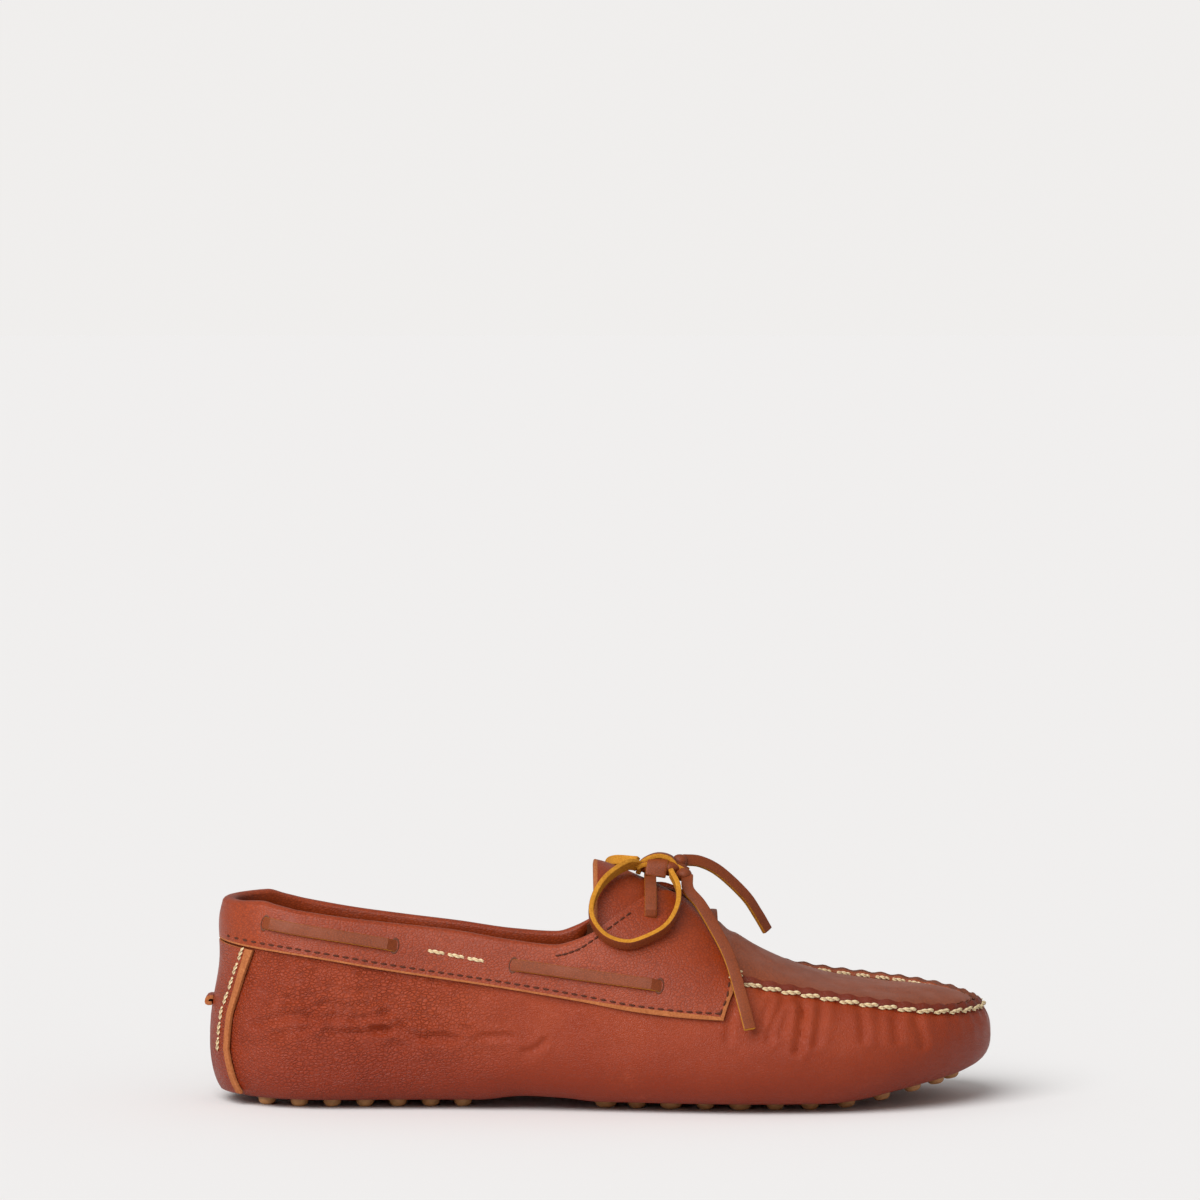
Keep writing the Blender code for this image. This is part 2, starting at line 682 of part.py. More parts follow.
def tongue_column(outer, inner, depth):
    """The tongue across the instep between two facing ribs, depth below its top face."""
    sink = WRAP_WALL + GAP + (APRON_WALL + 3 * GAP) * ease(outer.x, TONGUE_DIVES_X, APRON_REAR_X) + depth
    sides = []
    for rib in (outer, inner):
        rim = h_of_z(rib, top_z(rib))
        heights = wall_rows(rib)[-2:] + [rim + (1 - rim) * f for f in (0.0, 0.35, 0.7, 1.0)]
        sides.append([on_last(rib, h, -sink) for h in heights])
    return sides[0] + sides[1][-2::-1]


def make_tongue(leather, home):
    """Tongue: an arched flap under the lace flaps and the rear edge of the apron."""
    pairs = [pair for pair in zip(OUTER, INNER) if TONGUE_REAR_X - 1 <= pair[0].x <= TONGUE_FRONT_X + 1]
    top, bottom = [[tongue_column(*pair, depth) for pair in pairs] for depth in (0.0, TONGUE_WALL)]
    return slab("tongue", flatten(top), flatten(bottom), grid_faces(len(pairs), len(top[0])), leather, home)


def band_column(rib, off):
    """The band at one rib, off the wrap by this much, over the same rows as the wrap behind it."""
    return [on_last(rib, h, off) for h in wall_rows(rib)[2:]] + [wrap_rim(rib, off)]


def band_fold(rib, off):
    """The collar's roll, this far from the wrap: over its top edge and a little way down its inside."""
    rim, low = h_of_z(rib, top_z(rib)), h_of_z(rib, top_z(rib) - FOLD_DEPTH)
    inside = -(WRAP_WALL + off)
    over_out, over_in = on_last(rib, rim, off * 0.5), on_last(rib, rim, inside + off * 0.5)
    over_out[2] = over_in[2] = top_z(rib) + off
    return [over_out, over_in, on_last(rib, rim, inside), on_last(rib, low, inside)]


def make_band(leather, home, cutters):
    """Collar band: the overlay around the collar and up over the instep as the two lace flaps."""
    ribs = [rib for rib in INNER if rib.x <= BAND_LAST_RIB_X][:0:-1]
    ribs += [rib for rib in OUTER if rib.x <= BAND_LAST_RIB_X]
    rolled = [rib for rib in ribs if rib.x <= FOLD_FRONT_X]
    sides = []
    for off in (GAP + BAND_WALL, GAP):
        sides.append(flatten([band_column(rib, off) for rib in ribs] + [band_fold(rib, off) for rib in rolled]))
    tall, fold_tall = len(band_column(ribs[0], GAP)), len(band_fold(ribs[0], GAP))
    faces = grid_faces(len(ribs), tall)
    start = ribs.index(rolled[0])
    for k in range(len(rolled) - 1):
        strips = []
        for c in (k, k + 1):
            low = len(ribs) * tall + c * fold_tall
            strips.append([(start + c) * tall + tall - 1] + list(range(low, low + fold_tall)))
        here, after = strips
        for j in range(fold_tall):
            faces += [(here[j], after[j], after[j + 1]), (here[j], after[j + 1], here[j + 1])]
    band = slab("collar_band", sides[0], sides[1], faces, leather, home)
    wedge = [[(x, y, z) for x, z in BAND_FRONT] for y in (-60.0, 60.0)]
    boolean(band, loft("band_front_cut", wedge, None, cutters), "DIFFERENCE")
    return band


def patch_column(rib, off):
    """The heel patch at one rib, off the wrap by this much, over the wrap's rows."""
    top = h_of_z(rib, band_edge_z(rib.x) - PATCH_BELOW_BAND)
    return [on_last(rib, h, off) for h in CORNER_ROWS[1:] + wall_rows(rib)[:2] + [top]]


def make_heel_patch(leather, home, cutters):
    """Heel patch: the overlay round the back of the heel, from the corner of the sole up to the band."""
    ribs = INNER[PATCH_RIBS:0:-1] + OUTER[: PATCH_RIBS + 1]
    over, under = [[patch_column(rib, off) for rib in ribs] for off in (GAP + PATCH_WALL, GAP)]
    faces = grid_faces(len(ribs), len(over[0]))
    patch = slab("heel_patch", flatten(over), flatten(under), faces, leather, home)
    wedge = [[(x, y, z) for x, z in PATCH_FRONT] for y in (-60.0, 60.0)]
    boolean(patch, loft("patch_front_cut", wedge, None, cutters), "DIFFERENCE")
    return patch


def make_keeper(leather, home):
    """Heel keeper: a small folded tab that stands out from the back seam of the patch."""
    rib = OUTER[0]
    sections = []
    for z, reach in KEEPER:
        base = on_last(rib, h_of_z(rib, z), 2 * GAP + PATCH_WALL)
        x, w = float(base[0]), KEEPER_WIDTH / 2
        sections.append([(x, -w, z), (x, w, z), (x - reach, w * 0.7, z), (x - reach, -w * 0.7, z)])
    return loft("heel_keeper", sections, leather, home)


def strip(name, points, wide_at, material, home, width=LACE_WIDTH, thickness=LACE_THICKNESS):
    """A flat strip of lace through the points; wide_at gives the direction of its width at each."""
    points = [np.array(p, float) for p in points]
    sections = []
    for k, point in enumerate(points):
        ahead = points[min(k + 1, len(points) - 1)] - points[max(k - 1, 0)]
        ahead /= np.linalg.norm(ahead)
        wide = np.array(wide_at(k), float)
        wide -= ahead * (wide @ ahead)
        wide *= width / 2 / np.linalg.norm(wide)
        thick = np.cross(ahead, wide) * thickness / width
        sections.append([point - wide - thick, point + wide - thick, point + wide + thick, point - wide + thick])
    return loft(name, sections, material, home)


def lace_bar(row, inner, leather, home):
    """A run of lace lying on the collar band between two of its slots."""
    off = GAP + BAND_WALL + GAP + LACE_THICKNESS / 2
    points, wides = [], []
    for k in range(BAR_STATIONS):
        f = k / (BAR_STATIONS - 1)
        rib = rib_at_x(row.x0 + (row.x1 - row.x0) * f, inner)
        h = h_of_z(rib, row.z0 + (row.z1 - row.z0) * f)
        points.append(on_last(rib, h, off))
        wides.append(on_last(rib, h + 0.02, off) - on_last(rib, h - 0.02, off))
    side = "inner" if inner else "outer"
    return strip(f"lace_{side}_{row.name}", points, lambda k: wides[k], leather, home)


def lace_crossing(name, x, rows, leather, home):
    """A run of lace over the instep from one side to the other, along the rows of height and clearance."""
    points = []
    for inner in (False, True):
        rib = rib_at_x(x, inner)
        side = []
        for z, off in rows:
            h = 1.0 if z is None else h_of_z(rib, z)
            side.append(on_last(rib, h, off + LACE_THICKNESS / 2))
        points += side if not inner else side[-2::-1]
    return strip(name, points, lambda k: (1.0, 0.0, 0.0), leather, home)


def make_knot(leather, home):
    """The lace's knot, a rounded lump over the upper crossing."""
    sections = []
    for f, size in KNOT_SECTIONS:
        x = KNOT.x + f * KNOT.length / 2
        ring = []
        for k in range(8):
            turn = 2 * math.pi * (k + 0.5) / 8
            y = KNOT.y + size * KNOT.width / 2 * math.cos(turn)
            ring.append((x, y, KNOT.z + size * KNOT.height / 2 * math.sin(turn)))
        sections.append(ring)
    return loft("lace_knot", sections, leather, home)


def remove_all():
    for old in list(bpy.data.objects):
        bpy.data.objects.remove(old)


def main():
    remove_all()
    home = bpy.data.collections.new("driving_loafer")
    cutters = bpy.data.collections.new("cutters")
    for collection in (home, cutters):
        bpy.context.scene.collection.children.link(collection)
    leather = new_material("moccasin leather", LEATHER, 0.45)
    apron_leather = new_material("apron leather", APRON_LEATHER, 0.5)
    lace_leather = new_material("lace leather", LACE_LEATHER, 0.6)
    rubber = new_material("gum rubber", RUBBER, 0.55)
    sock = new_material("sock leather", SOCK_LEATHER, 0.6)

    wrap = make_wrap(leather, home)
    hole_r = PEBBLE_ROOT_R + GAP
    holes = pebble_set("pebble_holes", [HEEL_PAD, TOE_PAD], -(WRAP_WALL + 1.0), 1.0, hole_r, hole_r, cutters)
    boolean(wrap, holes, "DIFFERENCE")
    for pad in (HEEL_PAD, TOE_PAD):
        make_pad(pad, rubber, home, cutters)
    make_insole(sock, home)
    make_apron(apron_leather, home)
    make_tongue(leather, home)
    make_band(leather, home, cutters)
    make_heel_patch(leather, home, cutters)
    make_keeper(leather, home)
    for inner in (False, True):
        for row in LACE_BARS:
            lace_bar(row, inner, lace_leather, home)
    lace_crossing("lace_lower_crossing", LOWER_CROSSING_X, LOWER_CROSSING, lace_leather, home)
    lace_crossing("lace_upper_crossing", UPPER_CROSSING_X, UPPER_CROSSING, lace_leather, home)
    make_knot(lace_leather, home)
    for free in FREE_LACES:
        strip(free.name, free.points, lambda k, wide=free.wide: wide, lace_leather, home)


main()
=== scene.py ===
import json
import math
import random
from collections import namedtuple

import bpy
import numpy as np
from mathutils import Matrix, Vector

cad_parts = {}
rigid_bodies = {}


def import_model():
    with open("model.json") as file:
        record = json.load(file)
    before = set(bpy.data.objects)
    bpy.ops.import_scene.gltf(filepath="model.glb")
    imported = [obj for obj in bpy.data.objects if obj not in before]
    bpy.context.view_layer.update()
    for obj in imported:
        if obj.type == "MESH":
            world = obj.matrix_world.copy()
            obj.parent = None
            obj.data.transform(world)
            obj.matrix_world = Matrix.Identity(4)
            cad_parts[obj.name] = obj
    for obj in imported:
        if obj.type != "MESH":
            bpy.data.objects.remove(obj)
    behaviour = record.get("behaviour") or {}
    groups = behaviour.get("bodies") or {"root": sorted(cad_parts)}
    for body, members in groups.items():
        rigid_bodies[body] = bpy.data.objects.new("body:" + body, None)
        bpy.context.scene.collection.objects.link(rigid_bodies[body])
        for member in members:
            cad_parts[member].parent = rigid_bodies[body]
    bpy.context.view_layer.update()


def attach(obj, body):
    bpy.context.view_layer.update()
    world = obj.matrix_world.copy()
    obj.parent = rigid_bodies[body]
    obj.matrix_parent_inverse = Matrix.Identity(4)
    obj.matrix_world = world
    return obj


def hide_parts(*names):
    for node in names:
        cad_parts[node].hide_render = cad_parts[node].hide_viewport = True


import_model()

# %% [markdown]
# # A driving loafer, cell by cell
# The frame that was just loaded holds plain solids of one shoe: a hand-sewn moccasin for the right foot that
# walks on rubber pebbles. They give every size and every place. This file gives the shoe its real skin:
# creased leather, turned seams, waxed thread, a bow of lace and soft light.

# %% [markdown]
# ## Camera
# The photograph was taken from the side with a long lens that looks down a little, so the sides of the shoe
# hardly narrow with distance. The shoe stands low in the frame. A 187 mm lens two metres away, turned down by
# three and a half degrees, gives the same picture.

# %% Camera at the photograph's angle
bpy.ops.object.select_all(action="DESELECT")
bpy.ops.object.camera_add(location=(0.00031, -1.98377, 0.2837), rotation=(math.radians(90 - 3.583), 0.0, 0.0))
camera = bpy.context.object
camera.name = "side_camera"
camera.data.lens = 187.5
camera.data.sensor_width = 36.0
camera.data.clip_end = 20.0
bpy.context.scene.camera = camera
print("camera", tuple(round(v, 4) for v in camera.location))

# %% [markdown]
# ## The last
# A shoe is made around a last, a wooden foot. Here the last is a set of tables in millimetres and a few
# functions. They are the same ones that the solids were cut from, so a skin laid on the last fits the solids.
# A rib is one upright slice. The number h runs along it: -1 is the edge of the sole, 0 is the widest point and
# 1 is the middle line over the foot.

# %% The last's tables
MM = 0.001

# Leather, rubber and the gap that touching pieces keep
GAP = 0.3
WRAP_WALL = 1.5
BAND_WALL = 1.1
PATCH_WALL = 1.2
APRON_WALL = 1.5
TONGUE_WALL = 2.0
PAD_THICKNESS = 1.5
INSOLE_THICKNESS = 2.3

# The object's own frame: these shifts put the origin under the middle of the shoe
ORIGIN_X = -0.31
ORIGIN_Y = -1.33
# Belly line, the widest line around the shoe, seen from above. belly_z is its height, foot_in how far inside
# it the flat of the sole starts, square how boxy the arch above it is (2 is an ellipse), and hollow how far
# that arch draws in halfway up the heel.
Hull = namedtuple("Hull", "name x y belly_z foot_in square hollow")
HULL = [
    Hull("heel back", -123.1, 0.0, 18.5, 5.8, 2.60, 2.2),
    Hull("heel turn, outer", -116.5, -18.5, 18.5, 6.0, 2.50, 1.5),
    Hull("heel side, outer", -100.0, -29.5, 18.5, 6.2, 2.30, 0.4),
    Hull("heel front, outer", -75.0, -32.5, 19.0, 7.5, 2.20, 0.0),
    Hull("waist, outer", -40.0, -34.0, 19.0, 9.5, 2.10, 0.0),
    Hull("instep, outer", -5.0, -38.0, 18.5, 9.5, 2.00, 0.0),
    Hull("ball rear, outer", 25.0, -42.5, 18.0, 9.0, 2.00, 0.0),
    Hull("ball, outer", 50.0, -44.5, 18.0, 9.0, 2.00, 0.0),
    Hull("toe rear, outer", 78.0, -41.5, 18.0, 9.0, 2.20, 0.0),
    Hull("toe side, outer", 102.0, -32.0, 18.5, 9.0, 2.30, 0.0),
    Hull("toe turn, outer", 117.5, -17.0, 19.5, 8.8, 2.40, 0.0),
    Hull("toe tip", 125.2, 3.5, 19.8, 8.6, 2.40, 0.0),
    Hull("toe turn, inner", 119.5, 22.0, 19.5, 8.8, 2.40, 0.0),
    Hull("toe side, inner", 104.0, 35.0, 18.5, 9.0, 2.30, 0.0),
    Hull("toe rear, inner", 80.0, 41.0, 18.0, 8.5, 2.20, 0.0),
    Hull("ball, inner", 50.0, 41.0, 18.0, 8.5, 2.00, 0.0),
    Hull("ball rear, inner", 25.0, 36.5, 18.0, 10.0, 2.00, 0.0),
    Hull("instep, inner", -5.0, 31.5, 18.5, 12.0, 2.00, 0.0),
    Hull("waist, inner", -40.0, 30.0, 19.0, 12.0, 2.10, 0.0),
    Hull("heel front, inner", -75.0, 31.0, 19.0, 8.0, 2.20, 0.0),
    Hull("heel side, inner", -100.0, 28.5, 18.5, 6.2, 2.30, 0.4),
    Hull("heel turn, inner", -116.5, 18.0, 18.5, 6.0, 2.50, 1.5),
]
HOLLOW_SPAN = 0.36

# Spine: the centre line that the ribs aim at. crown_z is the top of the arch there.
Spine = namedtuple("Spine", "x y crown_z")
SPINE = [
    Spine(-96.0, 0.0, 86.0),
    Spine(-75.0, -0.5, 81.0),
    Spine(-40.0, -1.5, 80.0),
    Spine(-5.0, -2.0, 79.0),
    Spine(16.0, -1.7, 71.7),
    Spine(29.0, -1.2, 64.5),
    Spine(43.0, -0.6, 55.0),
    Spine(51.0, 0.0, 50.0),
    Spine(63.0, 1.0, 44.6),
    Spine(75.0, 2.0, 41.0),
    Spine(93.0, 3.0, 38.0),
]
HEEL_AIM = SPINE[0].x
TOE_AIM = SPINE[-1].x

# Underside of the leather: arch under the waist and spring under the toes
Sole = namedtuple("Sole", "x z")
SOLE = [
    Sole(-118.0, 2.8),
    Sole(-39.0, 2.8),
    Sole(-24.0, 4.2),
    Sole(-12.0, 3.8),
    Sole(0.0, 2.8),
    Sole(72.0, 2.8),
    Sole(82.0, 3.8),
    Sole(92.0, 5.8),
    Sole(102.0, 7.7),
    Sole(110.0, 9.0),
    Sole(118.0, 10.8),
]

# Top edge of the moccasin leather: collar, lace flap, then the crest of the toe seam, on each side
Topline = namedtuple("Topline", "x outer_z inner_z")
TOPLINE = [
    Topline(-118.0, 63.5, 63.5),
    Topline(-110.0, 64.0, 63.6),
    Topline(-103.0, 62.9, 61.9),
    Topline(-93.0, 61.2, 59.6),
    Topline(-80.0, 59.3, 57.2),
    Topline(-64.0, 57.6, 55.0),
    Topline(-46.0, 55.7, 52.8),
    Topline(-28.0, 52.8, 50.2),
    Topline(-14.0, 51.4, 49.2),
    Topline(-8.0, 52.8, 51.0),
    Topline(-2.0, 56.2, 54.9),
    Topline(3.0, 59.6, 58.8),
    Topline(8.0, 62.8, 62.2),
    Topline(12.0, 65.0, 64.6),
    Topline(16.0, 66.6, 66.3),
    Topline(20.0, 67.0, 66.8),
    Topline(24.0, 65.9, 65.8),
    Topline(28.0, 63.4, 63.4),
    Topline(32.0, 59.6, 59.8),
    Topline(36.0, 54.8, 55.2),
    Topline(40.0, 49.4, 50.2),
    Topline(44.0, 43.9, 45.2),
    Topline(54.0, 41.2, 42.4),
    Topline(66.0, 38.9, 40.2),
    Topline(78.0, 36.8, 38.4),
    Topline(92.0, 34.7, 36.9),
    Topline(105.0, 33.2, 35.6),
    Topline(117.0, 32.2, 33.9),
    Topline(125.2, 32.0, 32.0),
]

# Lower edge of the collar band, the same on both sides
BandEdge = namedtuple("BandEdge", "x z")
BAND_EDGE = [
    BandEdge(-123.4, 52.2),
    BandEdge(-97.0, 49.2),
    BandEdge(-67.0, 44.4),
    BandEdge(-32.0, 39.4),
    BandEdge(-5.0, 35.2),
    BandEdge(10.0, 32.6),
    BandEdge(25.0, 30.9),
    BandEdge(39.5, 29.9),
]
BAND_FRONT_LOW_X = 39.5
BAND_FRONT_TOP_X = 44.5

# What is cut off the band in front of its slanted edge, seen from the side
BAND_FRONT = [(38.4, 26.0), (38.6, 30.0), (41.6, 36.3), (42.3, 40.0), (43.6, 46.0), (56.0, 46.0), (56.0, 26.0)]

# Toe seam: the wrap and the apron turn up together and stand this high
SEAM_LIP = 2.8
LIP_LEAN = 1.3
LIP_STARTS_X = 38.0
LIP_FULL_X = 44.0
# Rubber pebble pads inside the leather, their pebbles through holes in it
Pad = namedtuple("Pad", "name rows edge_in across")
HEEL_PAD = Pad("heel_pebble_pad", [-105.6, -95.2, -84.8, -74.4, -64.0, -53.6, -43.4], 5.8, 13.0)
TOE_PAD = Pad(
    "forefoot_pebble_pad",
    [1.9, 11.7, 22.4, 33.3, 44.2, 55.3, 66.3, 77.7, 88.8, 98.8, 106.6, 111.6],
    8.2,
    14.0,
)
LARGE_PEBBLE_ROWS = [1.9, 22.4, 44.2]
PEBBLE_ROOT_R = 3.2
PEBBLE_TIP_R = 2.5
LARGE_PEBBLE_EXTRA = 0.8
PEBBLE_DROP = 2.8
PEBBLE_SIDES = 8
PAD_MARGIN = 0.8
PAD_END = 3.7

# Where the apron and the tongue start and end. The tongue dives under the apron's rear edge.
APRON_REAR_X = 35.5
LIP_PANEL_SINK = 0.6
LIP_FOOT = 1.1
TONGUE_REAR_X = -2.0
TONGUE_DIVES_X = 26.0
TONGUE_FRONT_X = 40.0

# Collar band: its last rib before the front edge is cut, and the roll at its top
BAND_LAST_RIB_X = 44.5
FOLD_FRONT_X = -7.0
FOLD_DEPTH = 3.6

# Heel patch: the ribs it covers each way from the back, and what is cut off in front of its side edges
PATCH_RIBS = 3
PATCH_BELOW_BAND = 0.8
PATCH_FRONT = [(-114.2, 0.0), (-115.8, 9.0), (-117.0, 18.0), (-116.2, 30.0), (-113.2, 43.0), (-109.4, 54.0)]
PATCH_FRONT += [(-90.0, 54.0), (-90.0, 0.0)]

# Heel keeper: how far it stands out at each height
KEEPER = [(28.2, 0.7), (29.6, 1.6), (32.8, 1.6), (34.2, 0.7)]
KEEPER_WIDTH = 8.0

# Laces: a flat strip of leather in runs on the band, two crossings over the instep and a bow
LACE_WIDTH = 3.8
LACE_THICKNESS = 1.6
LaceBar = namedtuple("LaceBar", "name x0 z0 x1 z1")
LACE_BARS = [
    LaceBar("rear_run", -107.2, 58.6, -64.0, 51.8),
    LaceBar("front_run", -27.8, 46.3, 19.2, 40.2),
]
BAR_STATIONS = 8

# Each crossing: height on the last (None is the spine) and clearance of its lower face
# Each crossing: height on the last (None is the spine) and clearance of its lower face
LOWER_CROSSING_X = 35.5
LOWER_CROSSING = [(57.3, -1.2), (58.7, -1.2), (59.9, -1.2), (None, -1.2)]
UPPER_CROSSING_X = 16.0
UPPER_CROSSING = [(61.8, 2.0), (64.4, 2.0), (66.8, 2.0), (68.8, 0.6), (70.6, -0.3), (None, -0.8)]

Knot = namedtuple("Knot", "x y z length width height")

# %% Smooth curves and ribs
def smooth_table(rows, value_names):
    """A function of x through the rows: cubic between rows, with no overshoot past them."""
    x = np.array([row.x for row in rows], float)
    v = np.array([[getattr(row, name) for name in value_names] for row in rows], float)
    slope = np.diff(v, axis=0) / np.diff(x)[:, None]
    tangent = np.zeros_like(v)
    tangent[0], tangent[-1] = slope[0], slope[-1]
    before, after = slope[:-1], slope[1:]
    agree = before * after > 0
    total = np.where(agree, before + after, 1.0)
    tangent[1:-1] = np.where(agree, 2 * before * after / total, 0.0)

    def at(value):
        value = min(max(value, x[0]), x[-1])
        i = min(int(np.searchsorted(x, value, side="right")) - 1, len(x) - 2)
        step = x[i + 1] - x[i]
        f = (value - x[i]) / step
        rise = f * f * (3 - 2 * f)
        out = (1 - rise) * v[i] + rise * v[i + 1]
        out = out + step * (f * (1 - f) ** 2 * tangent[i] - f * f * (1 - f) * tangent[i + 1])
        return float(out[0]) if len(value_names) == 1 else out

    return at


def closed_spline(points, values):
    """A closed smooth curve of values through its rows, spaced by the distance between the points."""
    gaps = np.linalg.norm(np.roll(points, -1, axis=0) - points, axis=1)
    starts = np.concatenate([[0.0], np.cumsum(gaps)])
    n = len(values)
    matrix = np.zeros((n, n))
    right = np.zeros_like(values)
    for i in range(n):
        j = (i + 1) % n
        before, after = gaps[i - 1], gaps[i]
        matrix[i, i - 1] += before
        matrix[i, i] += 2 * (before + after)
        matrix[i, j] += after
        right[i] = 6 * ((values[j] - values[i]) / after - (values[i] - values[i - 1]) / before)
    bend = np.linalg.solve(matrix, right)

    def at(t):
        t = t % starts[-1]
        i = min(int(np.searchsorted(starts, t, side="right")) - 1, n - 1)
        j = (i + 1) % n
        a, b = (starts[i + 1] - t) / gaps[i], (t - starts[i]) / gaps[i]
        cubic = ((a**3 - a) * bend[i] + (b**3 - b) * bend[j]) * gaps[i] ** 2 / 6
        return a * values[i] + b * values[j] + cubic

    return at, starts


hull_points = np.array([(row.x, row.y) for row in HULL])
hull_values = np.array([row[1:] for row in HULL], float)
hull_at, hull_starts = closed_spline(hull_points, hull_values)
spine_at = smooth_table(SPINE, ["y", "crown_z"])
sole_z = smooth_table(SOLE, ["z"])
topline_at = smooth_table(TOPLINE, ["outer_z", "inner_z"])
band_edge_z = smooth_table(BAND_EDGE, ["z"])
TOE_T = float(hull_starts[[row.name for row in HULL].index("toe tip")])
RING = float(hull_starts[-1])

Rib = namedtuple("Rib", "x y out_x out_y span belly_z foot_in square hollow crown_z sole_z inner")


def rib_at(t):
    """The rib at distance t around the belly line, from the heel back along the outer side to the toe."""
    x, y, belly_z, foot_in, square, hollow = hull_at(t)
    aim_x = min(max(x, HEEL_AIM), TOE_AIM)
    aim_y, crown_z = spine_at(aim_x)
    span = math.hypot(x - aim_x, y - aim_y)
    out_x, out_y = (x - aim_x) / span, (y - aim_y) / span
    low = sole_z(x - foot_in * out_x)
    inner = t % RING > TOE_T
    return Rib(x, y, out_x, out_y, span, belly_z, foot_in, square, max(hollow, 0.0), crown_z, low, inner)


def t_at_x(x, inner):
    """Where the belly line passes x on the outer or the inner side."""
    low, high = (TOE_T, RING) if inner else (0.0, TOE_T)
    for _ in range(40):
        middle = (low + high) / 2
        ahead = hull_at(middle)[0] > x
        if ahead == inner:
            low = middle
        else:
            high = middle
    return (low + high) / 2


def rib_at_x(x, inner=False):
    return rib_at(t_at_x(x, inner))


def profile(rib, h):
    """Inset from the belly and height at h: -1 is the sole's edge, 0 the belly, 1 the spine."""
    if h < 0:
        turn = (1 + h) * math.pi / 2
        return rib.foot_in * (1 - math.sin(turn)), rib.sole_z + (rib.belly_z - rib.sole_z) * (1 - math.cos(turn))
    turn = min(h, 1.0) * math.pi / 2
    power = 2 / rib.square
    inset = rib.span * (1 - max(math.cos(turn), 0.0) ** power)
    inset += rib.hollow * math.sin(math.pi * min(h / HOLLOW_SPAN, 1.0)) ** 2
    return inset, rib.belly_z + (rib.crown_z - rib.belly_z) * math.sin(turn) ** power


def on_last(rib, h, off=0.0):
    """A point of the last at h, moved off along the surface's normal."""
    inset, z = profile(rib, h)
    if h >= 1.0:
        return np.array([rib.x - inset * rib.out_x, rib.y - inset * rib.out_y, z + off])
    step = 1e-3
    rise = np.subtract(profile(rib, min(h + step, 1.0)), profile(rib, max(h - step, -1.0)))
    normal_out, normal_z = rise[::-1] / math.hypot(*rise)
    away = off * normal_out - inset
    return np.array([rib.x + away * rib.out_x, rib.y + away * rib.out_y, z + off * normal_z])


def h_of_z(rib, z):
    """Where the arch above the belly reaches height z."""
    share = min(max((z - rib.belly_z) / (rib.crown_z - rib.belly_z), 0.0), 1.0)
    return math.asin(share ** (rib.square / 2)) * 2 / math.pi


def h_of_inset(rib, inset):
    """Where the arch above the belly is inset this far, away from the heel's hollow."""
    left = max(1 - inset / rib.span, 0.0)
    return math.acos(left ** (rib.square / 2)) * 2 / math.pi


def ease(value, start, end):
    """0 up to start and 1 from end on, with a smooth change between."""
    f = min(max((value - start) / (end - start), 0.0), 1.0)
    return f * f * (3 - 2 * f)


def top_z(rib):
    """Height of the wrap's top edge at a rib."""
    return float(topline_at(rib.x)[int(rib.inner)])


def lip_share(rib):
    """0 where the top edge lies flat on the last, 1 where it turns up into the toe seam."""
    return ease(rib.x, LIP_STARTS_X, LIP_FULL_X)

# %% [markdown]
# ## Finishes
# Leather is skin, so its finish starts with its grain: small pebbles with darker valleys between them, a fine
# noise of pores and slow patches of lighter and darker dye. All patterns stand on Object coordinates, in
# metres, so that they keep their real size on every piece. The grain is a Voronoi pattern with a warped
# ground, which gives cells of uneven shape, where an image would need a photograph.

# %% A small helper that wires nodes
def finish_of(name):
    """A new material, a function that adds a node to it, and its shader."""
    material = bpy.data.materials.new(name)
    material.use_nodes = True
    tree = material.node_tree

    def add(kind, settings=None, **sockets):
        node = tree.nodes.new("ShaderNode" + kind)
        for key, value in (settings or {}).items():
            setattr(node, key, value)
        for key, value in sockets.items():
            socket = node.inputs[int(key[1:])] if key[0] == "i" and key[1:].isdigit() else node.inputs[key]
            if isinstance(value, bpy.types.NodeSocket):
                tree.links.new(value, socket)
            else:
                socket.default_value = value
        return node

    return material, add, tree.nodes["Principled BSDF"], tree.links


def ramp(add, value, low, high, to_low=0.0, to_high=1.0):
    """The value from low to high turned into to_low to to_high, and held there outside."""
    node = add("MapRange", None, Value=value, i1=low, i2=high, i3=to_low, i4=to_high)
    return node.outputs[0]


def times(add, a, b, operation="MULTIPLY"):
    return add("Math", {"operation": operation}, i0=a, i1=b).outputs[0]


def blend_colours(add, share, low, high):
    """Between two colours, each a socket or three numbers."""
    node = add("Mix", {"data_type": "RGBA"}, i0=share)
    for place, colour in ((6, low), (7, high)):
        if isinstance(colour, tuple):
            node.inputs[place].default_value = (*colour, 1.0)
        else:
            node.id_data.links.new(colour, node.inputs[place])
    return node.outputs[2]

